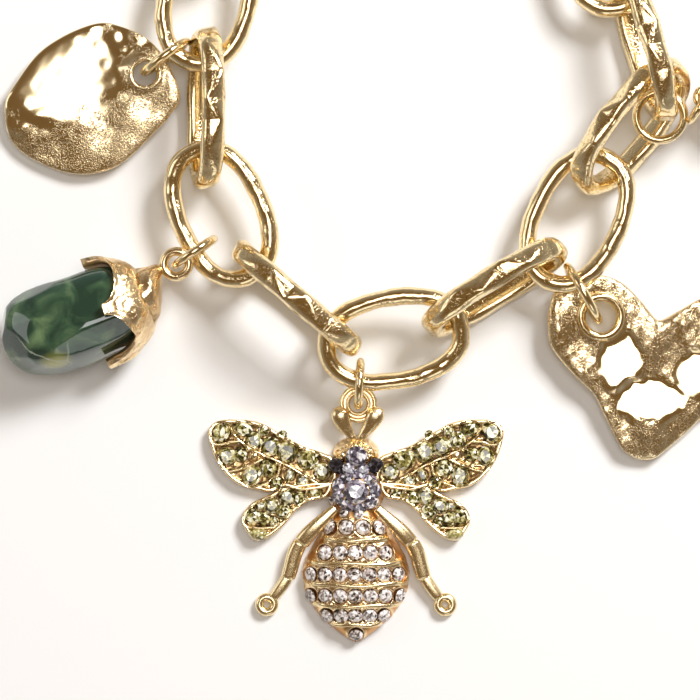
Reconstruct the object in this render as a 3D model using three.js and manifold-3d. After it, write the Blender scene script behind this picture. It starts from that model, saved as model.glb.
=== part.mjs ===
// A charm bracelet laid out on a table: plain oval links lie flat and alternate with hammered ones that
// stand on edge, and a disc, a capped stone, a bee, a heart and a ball hang from it on jump rings.
// Millimetres, +Z up. The origin is the middle of the foot of the whole bracelet's box.

import * as THREE from 'three';
import { mergeVertices } from 'three/addons/utils/BufferGeometryUtils.js';
import Module from 'manifold-3d';

const wasm = await Module();
wasm.setup();

// Driving dimensions

const plainLength = 15.2;
const plainWidth = 10.0;
const plainWire = 1.7;
const hammeredLength = 16.0;
const hammeredWidth = 8.8;
const bandWidth = 2.3;
const bandThickness = 1.6;

const discRingOuter = 6.0;
const stoneRingOuter = 5.5;
const beeRingOuter = 5.2;
const heartRingOuter = 7.0;
const linkRingOuter = 5.6;
const ballRingOuter = 3.8;
const claspRingOuter = 6.8;
const jumpWire = 0.85;
const ballRingWire = 0.7;

const discLength = 17.6;
const discThickness = 1.3;
const discHole = 2.5;
const discHoleReach = 5.9;

const heartWidth = 22.6;
const heartHeight = 17.6;
const heartThickness = 1.6;
const heartHole = 3.2;
const bossWidth = 5.0;
const bossRise = 0.35;

const stoneLength = 15.4;
const stoneWidth = 8.8;
const stoneDepth = 8.0;
const capWall = 0.7;
const stoneFit = 0.45;
const capEyeWidth = 3.4;
const capEyeWire = 0.9;

const beeSpan = 29.5;
const beeBodyHeight = 3.1;
const wingThickness = 1.0;
const wingRimWidth = 0.5;
const wingRimRise = 0.35;
const ridgeRise = 0.35;
const ridgeWidth = 0.55;
const bailWidth = 3.8;
const bailHole = 1.8;
const bailThickness = 0.6;
const bailHeight = 1.5;

const ballDiameter = 6.6;
const ballEyeWidth = 2.6;
const ballEyeWire = 0.7;

const claspLength = 11.5;
const claspWidth = 7.0;
const claspWire = 1.9;
const claspEyeWidth = 4.0;
const claspEyeWire = 1.0;

const clearance = 0.15;
const degrees = Math.PI / 180;

// Gilt metal, tumbled stone and the charms' own tones

const brightGold = { color: 0xe3b964, roughness: 0.2, metalness: 1 };
const hammeredGold = { color: 0xd8ad5c, roughness: 0.28, metalness: 1 };
const castGold = { color: 0xcfa452, roughness: 0.34, metalness: 1 };
const greenStone = { color: 0x1c4a33, roughness: 0.12, metalness: 0 };

// Solids from sections

// A skin through sections of equal counts, each anticlockwise seen against the way they follow one another.
// It closes on its first section, or else both ends are capped from their middles.
function loft(sections, closed = false) {
  const count = sections[0].length;
  const position = sections.flat().flatMap((corner) => [corner.x, corner.y, corner.z]);
  const index = [];
  const spans = closed ? sections.length : sections.length - 1;
  for (let span = 0; span < spans; span++) {
    const near = span * count;
    const far = ((span + 1) % sections.length) * count;
    for (let corner = 0; corner < count; corner++) {
      const next = (corner + 1) % count;
      index.push(near + corner, near + next, far + next);
      index.push(near + corner, far + next, far + corner);
    }
  }
  if (!closed) {
    const capEnd = (first, corners, forward) => {
      const middle = new THREE.Vector3();
      corners.forEach((corner) => middle.addScaledVector(corner, 1 / count));
      const hub = position.length / 3;
      position.push(middle.x, middle.y, middle.z);
      for (let corner = 0; corner < count; corner++) {
        const pair = [first + corner, first + (corner + 1) % count];
        index.push(hub, ...(forward ? pair : pair.reverse()));
      }
    };
    capEnd(0, sections[0], false);
    capEnd((sections.length - 1) * count, sections.at(-1), true);
  }
  const geometry = new THREE.BufferGeometry();
  geometry.setAttribute('position', new THREE.Float32BufferAttribute(position, 3));
  geometry.setIndex(index);
  return geometry;
}

// A point on a full oval, a little squarer than an ellipse.
function ovalPoint(halfLength, halfWidth, turn) {
  const roundness = 2 / 2.3;
  const cosine = Math.cos(turn);
  const sine = Math.sin(turn);
  const x = halfLength * Math.sign(cosine) * Math.abs(cosine) ** roundness;
  const y = halfWidth * Math.sign(sine) * Math.abs(sine) ** roundness;
  return new THREE.Vector3(x, y, 0);
}

// A closed link: profile(step) lists the [outward, upward] corners of its wire, clockwise, and the middle
// of the wire follows the oval.
function ovalLink(halfLength, halfWidth, steps, profile) {
  const sections = [];
  for (let step = 0; step < steps; step++) {
    const turn = 2 * Math.PI * step / steps;
    const place = ovalPoint(halfLength, halfWidth, turn);
    const ahead = ovalPoint(halfLength, halfWidth, turn + 0.05);
    const behind = ovalPoint(halfLength, halfWidth, turn - 0.05);
    const tangent = ahead.sub(behind).normalize();
    const section = profile(step).map(([outward, upward]) => new THREE.Vector3(
      place.x + tangent.y * outward, place.y - tangent.x * outward, upward));
    sections.push(section);
  }
  return loft(sections, true);
}

function roundProfile(diameter, sides) {
  const corners = [];
  for (let side = 0; side < sides; side++) {
    const turn = -2 * Math.PI * (side + 0.5) / sides;
    corners.push([diameter / 2 * Math.cos(turn), diameter / 2 * Math.sin(turn)]);
  }
  return () => corners;
}

function ringGeometry(outer, wire, steps = 12, sides = 6) {
  const middle = (outer - wire) / 2;
  return ovalRound(middle, steps, roundProfile(wire, sides));
}

function ovalRound(radius, steps, profile) {
  const sections = [];
  for (let step = 0; step < steps; step++) {
    const turn = 2 * Math.PI * step / steps;
    sections.push(profile(step).map(([outward, upward]) => new THREE.Vector3(
      (radius + outward) * Math.cos(turn), (radius + outward) * Math.sin(turn), upward)));
  }
  return loft(sections, true);
}

// The value at a place in a table of [place, value] rows, straight between rows.
function between(rows, place) {
  const last = rows.length - 1;
  const falling = rows[0][0] > rows[last][0];
  const passed = rows.findIndex(([at]) => (falling ? at <= place : at >= place));
  if (passed === 0) return rows[0][1];
  if (passed < 0) return rows[last][1];
  const [fromPlace, fromValue] = rows[passed - 1];
  const [toPlace, toValue] = rows[passed];
  return fromValue + (toValue - fromValue) * (place - fromPlace) / (toPlace - fromPlace);
}

// A round rod along a curve through points, thick as radii says in even shares of the way along it.
function taperedRod(points, radii, steps, sides) {
  const curve = new THREE.CatmullRomCurve3(points);
  const frames = curve.computeFrenetFrames(steps);
  const rows = radii.map((radius, row) => [row / (radii.length - 1), radius]);
  const sections = [];
  for (let step = 0; step <= steps; step++) {
    const centre = curve.getPointAt(step / steps);
    const radius = between(rows, step / steps);
    const section = [];
    for (let side = 0; side < sides; side++) {
      const turn = 2 * Math.PI * side / sides;
      section.push(centre.clone()
        .addScaledVector(frames.normals[step], radius * Math.cos(turn))
        .addScaledVector(frames.binormals[step], radius * Math.sin(turn)));
    }
    sections.push(section);
  }
  return loft(sections);
}

// A closed body turned about Z from [radius, height] corners that start and end on the axis.
function turned(profile, sides) {
  const points = profile.map(([radius, height]) => new THREE.Vector2(radius, height));
  return new THREE.LatheGeometry(points, sides).rotateX(Math.PI / 2);
}

// Joining and cutting

function solidOf(geometry) {
  const bare = geometry.clone();
  bare.deleteAttribute('normal');
  bare.deleteAttribute('uv');
  const merged = mergeVertices(bare);
  const mesh = new wasm.Mesh({
    numProp: 3,
    vertProperties: Float32Array.from(merged.attributes.position.array),
    triVerts: Uint32Array.from(merged.index.array),
  });
  return new wasm.Manifold(mesh);
}

function geometryOf(solid) {
  const mesh = solid.getMesh();
  const geometry = new THREE.BufferGeometry();
  geometry.setAttribute('position', new THREE.BufferAttribute(mesh.vertProperties, 3));
  geometry.setIndex(new THREE.BufferAttribute(mesh.triVerts, 1));
  return geometry;
}

function joined(geometries) {
  return geometryOf(geometries.map(solidOf).reduce((whole, piece) => whole.add(piece)));
}

function cut(geometry, tool) {
  return geometryOf(solidOf(geometry).subtract(solidOf(tool)));
}

// Pieces and their places

const bracelet = new THREE.Group();

function piece(name, geometry, finish) {
  geometry.computeVertexNormals();
  const mesh = new THREE.Mesh(geometry, new THREE.MeshStandardMaterial(finish));
  mesh.name = name;
  mesh.rotation.order = 'ZYX';
  bracelet.add(mesh);
  return mesh;
}

// Heading is the way the piece's own X axis points, pitch lifts that end and roll turns the piece about it.
function turn(mesh, heading, pitch = 0, roll = 0) {
  mesh.rotation.set(roll * degrees, -pitch * degrees, heading * degrees);
}

function seatOnTable(mesh) {
  mesh.updateMatrixWorld(true);
  mesh.position.z -= new THREE.Box3().setFromObject(mesh, true).min.z;
  mesh.updateMatrixWorld(true);
}

// Links

const plain = {
  halfLength: (plainLength - plainWire) / 2,
  halfWidth: (plainWidth - plainWire) / 2,
  reach: plainLength / 2 - plainWire,
  geometry: () => ovalLink((plainLength - plainWire) / 2, (plainWidth - plainWire) / 2, 16,
    roundProfile(plainWire, 6)),
  finish: brightGold,
  label: 'plain_link',
};

// The band's outer face is hammered to a ridge that swings from edge to edge, and its inner face is flat.
function hammeredProfile(step) {
  const swing = 0.16 * bandWidth * (step % 2 ? 1 : -1);
  const half = bandThickness / 2;
  return [
    [-half, 0.45 * bandWidth],
    [0.36 * half, 0.5 * bandWidth],
    [half, 0.18 * bandWidth + swing],
    [half, -0.18 * bandWidth + swing],
    [0.36 * half, -0.5 * bandWidth],
    [-half, -0.45 * bandWidth],
  ];
}

const hammered = {
  halfLength: (hammeredLength - bandThickness) / 2,
  halfWidth: (hammeredWidth - bandThickness) / 2,
  reach: hammeredLength / 2 - bandThickness,
  geometry: () => ovalLink((hammeredLength - bandThickness) / 2, (hammeredWidth - bandThickness) / 2, 16,
    hammeredProfile),
  finish: hammeredGold,
  label: 'hammered_link',
};

// A plain link lies on the lower sides of the links that stand beside it, near their ends.
const seatShare = 0.82;
const sideDrop = (hammeredWidth / 2 - bandThickness) * (1 - seatShare ** 2.3) ** (1 / 2.3);
const plainSeat = hammeredWidth / 2 - sideDrop + plainWire / 2 + clearance;

// The links that lie as chosen, from the loop's upper left round below to its upper right. toward is the
// way from the link before, slack how much closer than taut it lies as a share of the plain wire, and rise
// what it lies above its seat, as a share of that wire too. Angles are in degrees.
const laidLinks = [
  { kind: plain, toward: 0, slack: 0, heading: 77.9, pitch: 0, roll: 0, rise: 0 },
  { kind: hammered, toward: -90.9, slack: 0.7, heading: 90, pitch: 0, roll: 103.9, rise: 0 },
  { kind: plain, toward: -81.8, slack: 0.99, heading: 113.6, pitch: 0, roll: -6, rise: 0.06 },
  { kind: hammered, toward: -48.2, slack: 0.62, heading: -40.2, pitch: 0, roll: 90.5, rise: 0 },
  { kind: plain, toward: -22.7, slack: 1.09, heading: 9.8, pitch: 1.4, roll: 8, rise: 0.135 },
  { kind: hammered, toward: 27.2, slack: 0.64, heading: 30.9, pitch: -0.5, roll: 74.9, rise: 0 },
  { kind: plain, toward: 39.5, slack: 0.99, heading: 64.5, pitch: 0.2, roll: -4.8, rise: 0.14 },
  { kind: hammered, toward: 60.1, slack: 0.96, heading: 51.2, pitch: -2.4, roll: 51, rise: 0 },
  { kind: hammered, toward: 81.5, slack: 2.66, heading: 106.5, pitch: -5.4, roll: 100.8, rise: 0 },
  { kind: plain, toward: 108.5, slack: 0.91, heading: 92.1, pitch: 0, roll: 0, rise: 0 },
];
const counts = { plain_link: 0, hammered_link: 0 };

function addLink(kind, x, y, heading, pitch, roll, rise) {
  counts[kind.label] += 1;
  const mesh = piece(`${kind.label}_${counts[kind.label]}`, kind.geometry(), kind.finish);
  turn(mesh, heading, pitch, roll);
  mesh.position.set(x, y, plainSeat + rise * plainWire);
  if (kind === hammered) seatOnTable(mesh);
  mesh.updateMatrixWorld(true);
  return mesh;
}

const links = [];
let here = new THREE.Vector2();
for (const [order, row] of laidLinks.entries()) {
  if (order > 0) {
    const apart = laidLinks[order - 1].kind.reach + row.kind.reach - row.slack * plainWire;
    const way = row.toward * degrees;
    here = here.clone().add(new THREE.Vector2(Math.cos(way), Math.sin(way)).multiplyScalar(apart));
  }
  links.push(addLink(row.kind, here.x, here.y, row.heading, row.pitch, row.roll, row.rise));
}
const [firstLink, , stoneLink, , beeLink, , heartLink, , endLink, lastLink] = links;

// The rest of the loop runs straight up from both ends and meets in a half circle. before and after are the
// ways from a piece's middle to the insides of its ends.
const claspEyeCentre = claspLength / 2 + claspEyeWidth / 2 - claspEyeWire / 2;
const claspRing = { before: claspRingOuter / 2 - jumpWire, after: claspRingOuter / 2 - jumpWire };
const clasp = {
  before: claspEyeCentre + claspEyeWidth / 2 - claspEyeWire,
  after: claspLength / 2 - claspWire,
};
const linkSpan = (kind) => ({ kind, before: kind.reach, after: kind.reach });
const closingRow = [
  linkSpan(hammered), linkSpan(plain), linkSpan(hammered), linkSpan(plain),
  claspRing, clasp, claspRing,
  linkSpan(plain), linkSpan(hammered),
];

// Neighbours meet at joints, each a little inside the end of both.
const jointSlack = 0.36 * plainWire;
const jointAt = (link, way) => new THREE.Vector3(way * (plain.reach - jointSlack), 0, 0)
  .applyMatrix4(link.matrixWorld);
const lastJoint = jointAt(lastLink, 1);
const firstJoint = jointAt(firstLink, 1);
const joints = [0];
for (const { before, after } of closingRow) joints.push(joints.at(-1) + before + after - 2 * jointSlack);
const closingLength = joints.at(-1);
const closingRadius = (lastJoint.x - firstJoint.x) / 2;
const bendHeight = (closingLength - Math.PI * closingRadius + firstJoint.y + lastJoint.y) / 2;

function closingPlace(distance) {
  const swept = (distance - (bendHeight - lastJoint.y)) / closingRadius;
  if (swept < 0) return new THREE.Vector2(lastJoint.x, lastJoint.y + distance);
  if (swept > Math.PI) return new THREE.Vector2(firstJoint.x, firstJoint.y + closingLength - distance);
  return new THREE.Vector2(lastJoint.x - closingRadius * (1 - Math.cos(swept)),
    bendHeight + closingRadius * Math.sin(swept));
}

function jumpRing(name, outer, wire, heading) {
  const mesh = piece(name, ringGeometry(outer, wire), brightGold);
  turn(mesh, heading, 0, 90);
  return mesh;
}

// A loop of thick wire with a small eye at its near end.
function claspGeometry() {
  const loop = ovalLink((claspLength - claspWire) / 2, (claspWidth - claspWire) / 2, 16,
    roundProfile(claspWire, 6));
  const eye = ringGeometry(claspEyeWidth, claspEyeWire).translate(-claspEyeCentre, 0, 0);
  return joined([loop, eye]);
}

let ringCount = 0;
for (const [order, entry] of closingRow.entries()) {
  const near = closingPlace(joints[order]);
  const far = closingPlace(joints[order + 1]);
  const heading = far.clone().sub(near).angle() / degrees;
  const share = (entry.before - jointSlack) / (entry.before + entry.after - 2 * jointSlack);
  const { x, y } = near.lerp(far, share);
  if (entry.kind) {
    addLink(entry.kind, x, y, heading, 0, entry.kind === hammered ? 90 : 0, 0);
  } else if (entry === clasp) {
    const mesh = piece('clasp', claspGeometry(), brightGold);
    turn(mesh, heading);
    mesh.position.set(x, y, jumpWire + claspWire / 2 + clearance);
  } else {
    ringCount += 1;
    const mesh = jumpRing(`clasp_ring_${ringCount}`, claspRingOuter, jumpWire, heading);
    mesh.position.set(x, y, 0);
    seatOnTable(mesh);
  }
}

// Jump rings of the charms

function wireAt(link, around) {
  return ovalPoint(plain.halfLength, plain.halfWidth, around * degrees).applyMatrix4(link.matrixWorld);
}

// A ring round a plain link's wire, at a turn round the link in degrees. It stands along its heading, on the
// table or with its middle at a height, and out is the way along that from the wire to the ring's middle,
// as a share of the play.
function hangRing(name, outer, link, around, heading, out, height = outer / 2) {
  const mesh = jumpRing(name, outer, jumpWire, heading);
  const wire = wireAt(link, around);
  const way = new THREE.Vector3(Math.cos(heading * degrees), Math.sin(heading * degrees), 0);
  const play = outer / 2 - jumpWire - plainWire / 2 - clearance;
  const level = Math.sqrt(Math.max(play ** 2 - (wire.z - height) ** 2, 0));
  mesh.position.copy(wire).addScaledVector(way, level * out).setZ(height);
  mesh.updateMatrixWorld(true);
  return { mesh, way, middle: (outer - jumpWire) / 2 };
}

// Where the ring's far side passes at a height above the table, which is where a charm's hole lies.
function holeOn(ring, height) {
  const below = height - ring.mesh.position.z;
  const out = Math.sqrt(Math.max(ring.middle ** 2 - below ** 2, 0));
  return ring.mesh.position.clone().addScaledVector(ring.way, out).setZ(height);
}

const discRing = hangRing('disc_ring', discRingOuter, firstLink, 151, 216.4, 1);
const beeRing = hangRing('bee_ring', beeRingOuter, beeLink, 236, 266.5, 0.7);
const heartRing = hangRing('heart_ring', heartRingOuter, heartLink, 216, -60, 0.85);

// Flat charms

// A dented sheet between an outline and the plate's middle: rings of points at shares of the way out, with
// dent(x, y) lifting both faces alike.
function dentedPlate(outline, middle, thickness, dent) {
  const shares = [0.35, 0.68, 0.92, 1];
  const edgeThickness = 0.62;
  const height = (share) => thickness / 2 * (share === 1 ? edgeThickness : 1);
  const rings = (side, list) => list.map((share) => outline.map((corner) => {
    const x = middle.x + (corner.x - middle.x) * share;
    const y = middle.y + (corner.y - middle.y) * share;
    return new THREE.Vector3(x, y, dent(x, y) + side * height(share));
  }));
  return loft([...rings(-1, shares), ...rings(1, [...shares].reverse())]);
}

// Even points along a smooth closed curve through corners, anticlockwise.
function closedOutline(points, count) {
  const curve = new THREE.CatmullRomCurve3(points.map(([x, y]) => new THREE.Vector3(x, y, 0)), true);
  const outline = curve.getSpacedPoints(count).slice(0, count);
  return THREE.ShapeUtils.area(outline) < 0 ? outline.reverse() : outline;
}

function holeTool(x, y, diameter) {
  const depth = 4 * diameter;
  return new THREE.CylinderGeometry(diameter / 2, diameter / 2, depth, 14).rotateX(Math.PI / 2)
    .translate(x, y, 0);
}

// Dents fade out round a hole at the origin.
function flatHole(x, y, diameter) {
  return 1 - Math.exp(-((x ** 2 + y ** 2) / diameter ** 2));
}

// A charm's underside is lifted off the table by the ring's wire at its hole, and its far rim rests on it.
// along and aside are how far the hole's middle has slid from the wire, as shares of the play in the hole.
function hangPlate(mesh, ring, heading, farReach, hole, { along, aside }) {
  const lift = Math.asin((jumpWire + 2 * clearance) / farReach) / degrees;
  turn(mesh, heading, -lift);
  seatOnTable(mesh);
  const play = (hole - jumpWire) / 2;
  const sideways = new THREE.Vector3(-ring.way.y, ring.way.x, 0);
  mesh.position.copy(holeOn(ring, mesh.position.z))
    .addScaledVector(ring.way, along * play)
    .addScaledVector(sideways, aside * play);
  mesh.updateMatrixWorld(true);
}

// The disc is a flattened nugget, longest the way that it hangs. reach is the way from its middle to its rim,
// as a share of half its length, every 30 degrees from the way that it hangs.
const discReach = [1.03, 0.92, 0.845, 0.795, 0.8, 0.93, 0.97, 0.925, 0.865, 0.82, 0.83, 0.95];
const discHeading = 206;

function discGeometry() {
  const half = discLength / 2;
  const rim = discReach.map((reach, order) => {
    const way = 2 * Math.PI * order / discReach.length;
    return [discHoleReach + half * reach * Math.cos(way), half * reach * Math.sin(way)];
  });
  const wave = (x, y) => Math.sin(x / half * 3.1 + 0.6) * Math.cos(y / half * 2.7)
    + 0.8 * Math.hypot(x - discHoleReach, y) / half;
  const dent = (x, y) => flatHole(x, y, discHole) * discThickness * 0.2 * wave(x, y);
  const plate = dentedPlate(closedOutline(rim, 24), new THREE.Vector3(discHoleReach, 0, 0), discThickness,
    dent);
  return cut(plate, holeTool(0, 0, discHole));
}

const disc = piece('disc_charm', discGeometry(), castGold);
hangPlate(disc, discRing, discHeading, discHoleReach + discLength / 2, discHole, { along: 0.15, aside: 0 });

// Half of the heart's rim from notch to tip: across is a share of its width from its axis and along a share
// of its height from its middle.
const heartRim = [
  { across: 0, along: 0.27 },
  { across: 0.09, along: 0.43 },
  { across: 0.24, along: 0.5 },
  { across: 0.4, along: 0.42 },
  { across: 0.495, along: 0.2 },
  { across: 0.46, along: 0.0 },
  { across: 0.35, along: -0.14 },
  { across: 0.22, along: -0.27 },
  { across: 0.1, along: -0.43 },
  { across: 0, along: -0.5 },
];
const heartLean = -10;
const heartHolePlace = { across: -0.27, along: 0.27 };

// The outline leans in its hanging frame: its own up turns to point lean degrees off the photo's up.
function heartGeometry(heading) {
  const right = heartRim.map(({ across, along }) => [across * heartWidth, along * heartHeight]);
  const left = right.slice(1, -1).reverse().map(([x, y]) => [-x, y]);
  const hole = [heartHolePlace.across * heartWidth, heartHolePlace.along * heartHeight];
  const swing = (heartLean - heading) * degrees;
  const settle = ([x, y]) => {
    const fromHole = new THREE.Vector2(x - hole[0], y - hole[1]).rotateAround(new THREE.Vector2(), swing);
    return [fromHole.x, fromHole.y];
  };
  const rim = closedOutline([...right, ...left].map(settle), 30);
  const [middleX, middleY] = settle([0, 0.06 * heartHeight]);
  const dent = (x, y) => flatHole(x, y, bossWidth) * heartThickness * 0.3
    * Math.sin(x / heartWidth * 9 + 0.4) * Math.sin(y / heartWidth * 8 + 1.1);
  const plate = dentedPlate(rim, new THREE.Vector3(middleX, middleY, 0), heartThickness, dent);
  const boss = turned([
    [0, 0], [bossWidth / 2, 0], [bossWidth / 2, heartThickness / 2],
    [bossWidth / 2 - bossRise / 2, heartThickness / 2 + bossRise], [0, heartThickness / 2 + bossRise],
  ], 16);
  return cut(joined([plate, boss]), holeTool(0, 0, heartHole));
}

const heartHeading = -38;
const heart = piece('heart_charm', heartGeometry(heartHeading), castGold);
hangPlate(heart, heartRing, heartHeading, 0.72 * heartWidth, heartHole, { along: 0.16, aside: 0.36 });

// Capped stone

// The stone is a tumbled egg along X from its cap, blunt at its far end. Rows are shares of its length from
// the capped end, and of half its width.
const stoneRows = [
  [0, 0.3], [0.03, 0.52], [0.1, 0.74], [0.22, 0.9], [0.4, 0.98], [0.6, 1.0], [0.78, 0.94], [0.9, 0.78],
  [0.97, 0.52], [1, 0.28],
];
const stoneSides = 16;

function stoneRadius(share) {
  return stoneWidth / 2 * between(stoneRows, share);
}

// Sections lie across X: around starts at +Y and turns over the top. The stone and cap lie to the +Y side of
// the eye, and the neck slants over to them.
const neckLength = capWall;
const stoneStart = capEyeWidth / 2 + neckLength + capWall + stoneFit;
const stoneAside = 0.22 * stoneWidth;

function acrossX(x, radius, around) {
  const slanted = Math.min(Math.max(x - capEyeWidth / 2, 0) / (stoneStart - capEyeWidth / 2), 1);
  return new THREE.Vector3(x, slanted * stoneAside + radius * Math.cos(around),
    radius * stoneDepth / stoneWidth * Math.sin(around));
}

function stoneGeometry() {
  const sections = stoneRows.map(([share]) => {
    const section = [];
    for (let side = 0; side < stoneSides; side++) {
      const around = 2 * Math.PI * side / stoneSides;
      section.push(acrossX(stoneStart + share * stoneLength, stoneRadius(share), around));
    }
    return section;
  });
  return loft(sections);
}

// The cap is a cast calyx of four long lobes and the hollows between them, a wall round the stone's end with
// a lying eye behind it. lobes is how far it reaches along the stone at even turns round it, from the side
// that faces down in plan and over the top, as shares of the stone's length.
const capLobes = [
  0.4, 0.27, 0.14, 0.2, 0.27, 0.21, 0.16, 0.26, 0.335, 0.25, 0.15, 0.2, 0.27, 0.2, 0.15, 0.27,
];
const capFlare = 0.36 * capWall;
const capEdge = 0.6;

function capGeometry() {
  const ringOf = (make) => capLobes.map((lobe, order) => make(lobe, 2 * Math.PI * order / capLobes.length));
  const wallRing = (ring, wall) => ringOf((lobe, around) => {
    const share = lobe * ring;
    const radius = stoneRadius(share) + stoneFit + capFlare * ring ** 3 + wall;
    return acrossX(stoneStart + share * stoneLength, radius, around);
  });
  const disc = (x, radius) => ringOf((lobe, around) => acrossX(x, radius, around));
  const rings = [0.06, 0.22, 0.45, 0.75, 1];
  const walls = [1, 1, 1, 1, capEdge].map((share) => share * capWall);
  const outside = rings.map((ring, order) => wallRing(ring, walls[order]));
  const inside = rings.map((ring) => wallRing(ring, 0));
  const shell = loft([
    disc(capEyeWidth / 2 - capEyeWire / 2, 0.45 * capEyeWire),
    disc(capEyeWidth / 2 + neckLength / 2, 0.6 * capEyeWire),
    disc(stoneStart - stoneFit - 0.8 * capWall, 0.25 * stoneWidth),
    ...outside,
    ...inside.reverse(),
    disc(stoneStart - stoneFit, 0.1 * stoneWidth),
  ]);
  return joined([shell, ringGeometry(capEyeWidth, capEyeWire)]);
}

// Cap and stone rest on the table together, the far end of the stone a little lower.
const stoneHeading = 199.6;
const stonePitch = -4;
const stone = piece('green_stone', stoneGeometry(), greenStone);
const cap = piece('stone_cap', capGeometry(), castGold);
const lowest = [stone, cap].map((mesh) => {
  turn(mesh, stoneHeading, stonePitch);
  mesh.updateMatrixWorld(true);
  return new THREE.Box3().setFromObject(mesh, true).min.z;
});
const capEyeHeight = -Math.min(...lowest);
const stoneRingTurn = 108;
const stoneRingHeight = (capEyeHeight + wireAt(stoneLink, stoneRingTurn).z) / 2;
const stoneRing = hangRing('stone_ring', stoneRingOuter, stoneLink, stoneRingTurn, 214.1, 0.15,
  stoneRingHeight);
const capHole = holeOn(stoneRing, capEyeHeight);
stone.position.copy(capHole);
cap.position.copy(capHole);

// Bee

// Places on the bee are shares of its span: x across to its left wing tip's side as negative, y towards its
// head, both from the middle of the body between its upper legs.
const beePoint = (x, y, z = 0) => new THREE.Vector3(x * beeSpan, y * beeSpan, z);
const beeEye = { x: 0.007, y: 0.417 };

// The abdomen's half width and crown height along the body: [y, half width] and [y, share of the height].
const abdomenWidth = [
  [0.06, 0.068], [0.034, 0.085], [-0.05, 0.142], [-0.1, 0.17], [-0.15, 0.184], [-0.21, 0.178],
  [-0.254, 0.16], [-0.305, 0.122], [-0.346, 0.073], [-0.39, 0.012],
];
const abdomenCrown = [
  [0.06, 0.75], [0.0, 0.88], [-0.1, 1], [-0.2, 0.97], [-0.3, 0.76], [-0.36, 0.52], [-0.39, 0.3],
];
const abdomenRidges = [-0.044, -0.124, -0.196, -0.267, -0.33];

function abdomenHeight(x, y) {
  const half = between(abdomenWidth, y) * beeSpan;
  const crown = between(abdomenCrown, y) * beeBodyHeight;
  const across = Math.min(Math.abs(x * beeSpan / half), 1);
  return crown * Math.sqrt(1 - across ** 2.4);
}

function abdomenGeometry() {
  const rows = [[0.06, 0], [0.02, 0], [-0.16, 0], [-0.235, 0], [-0.36, 0], [-0.39, 0]];
  const foot = ridgeWidth / 2 / beeSpan;
  for (const ridge of abdomenRidges) {
    rows.push([ridge + foot, 0], [ridge + foot * 0.4, 1], [ridge - foot * 0.4, 1], [ridge - foot, 0]);
  }
  rows.sort(([one], [other]) => other - one);
  const spread = [1, 0.93, 0.75, 0.45, 0, -0.45, -0.75, -0.93, -1];
  const sections = rows.map(([y, raised]) => {
    const half = between(abdomenWidth, y);
    return spread.map((share) => {
      const x = half * share;
      const lift = raised * ridgeRise * (1 - share ** 6);
      return beePoint(x, y, abdomenHeight(x, y) + lift);
    });
  });
  const walls = sections.map((section) => [
    section[0].clone().setZ(0), ...section.slice(1, -1), section.at(-1).clone().setZ(0),
  ]);
  return loft(walls);
}

function dome(x, y, halfX, halfY, height) {
  const profile = [[0, 0], [1, 0], [0.96, 0.35], [0.8, 0.68], [0.5, 0.92], [0, 1]];
  return turned(profile, 12).scale(halfX * beeSpan, halfY * beeSpan, height * beeBodyHeight)
    .translate(x * beeSpan, y * beeSpan, 0);
}

const thorax = { x: 0, y: 0.122, halfX: 0.098, halfY: 0.088, height: 1.05 };
const head = { x: 0, y: 0.25, halfX: 0.078, halfY: 0.056, height: 0.86 };

function domeHeight({ x: atX, y: atY, halfX, halfY, height }, x, y) {
  const out = Math.min(((x - atX) / halfX) ** 2 + ((y - atY) / halfY) ** 2, 1);
  return height * beeBodyHeight * Math.sqrt(1 - out);
}

// A round cut stone with a table and eight facets, sunk a little into a surface whose height is given by a
// function of x and y, and leaning as that surface does.
function cutStone(x, y, radius, surface) {
  const step = 0.012;
  const slopeX = (surface(x + step, y) - surface(x - step, y)) / (2 * step * beeSpan);
  const slopeY = (surface(x, y + step) - surface(x, y - step)) / (2 * step * beeSpan);
  const up = new THREE.Vector3(-slopeX, -slopeY, 1).normalize();
  const reach = radius * beeSpan;
  const depth = reach * 0.85;
  const facets = new THREE.CylinderGeometry(reach * 0.55, reach, depth, 8).rotateX(Math.PI / 2);
  facets.translate(0, 0, depth / 2 - reach * 0.3);
  facets.applyQuaternion(new THREE.Quaternion().setFromUnitVectors(new THREE.Vector3(0, 0, 1), up));
  return facets.translate(x * beeSpan, y * beeSpan, surface(x, y));
}

// Half of each wing's rim and its stones, on the bee's left. The right wing mirrors it.
const upperWing = {
  rim: [
    [-0.075, 0.226], [-0.12, 0.253], [-0.175, 0.271], [-0.235, 0.303], [-0.327, 0.353], [-0.408, 0.363],
    [-0.47, 0.36], [-0.5, 0.328], [-0.493, 0.273], [-0.468, 0.218], [-0.43, 0.165], [-0.388, 0.137],
    [-0.327, 0.13], [-0.27, 0.128], [-0.18, 0.13], [-0.075, 0.14],
  ],
  stones: [
    [-0.463, 0.325], [-0.388, 0.325], [-0.343, 0.295], [-0.29, 0.277], [-0.235, 0.255], [-0.158, 0.232],
    [-0.11, 0.186], [-0.43, 0.238], [-0.385, 0.236], [-0.368, 0.175], [-0.335, 0.167], [-0.3, 0.204],
    [-0.255, 0.155], [-0.22, 0.177], [-0.175, 0.158],
  ],
  veins: [[-0.43, 0.285], [-0.36, 0.245], [-0.27, 0.215], [-0.13, 0.16]],
};
const lowerWing = {
  rim: [
    [-0.09, 0.15], [-0.1, 0.102], [-0.16, 0.087], [-0.208, 0.051], [-0.245, 0.005], [-0.3, -0.037],
    [-0.345, -0.046], [-0.375, -0.01], [-0.388, 0.03], [-0.36, 0.075], [-0.3, 0.105], [-0.22, 0.14],
  ],
  stones: [
    [-0.347, 0.037], [-0.3, 0.072], [-0.324, 0.01], [-0.27, 0.058], [-0.235, 0.1], [-0.235, 0.037],
    [-0.188, 0.1], [-0.144, 0.107],
  ],
  veins: [[-0.33, 0.052], [-0.28, 0.035], [-0.22, 0.07], [-0.15, 0.085]],
};
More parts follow.
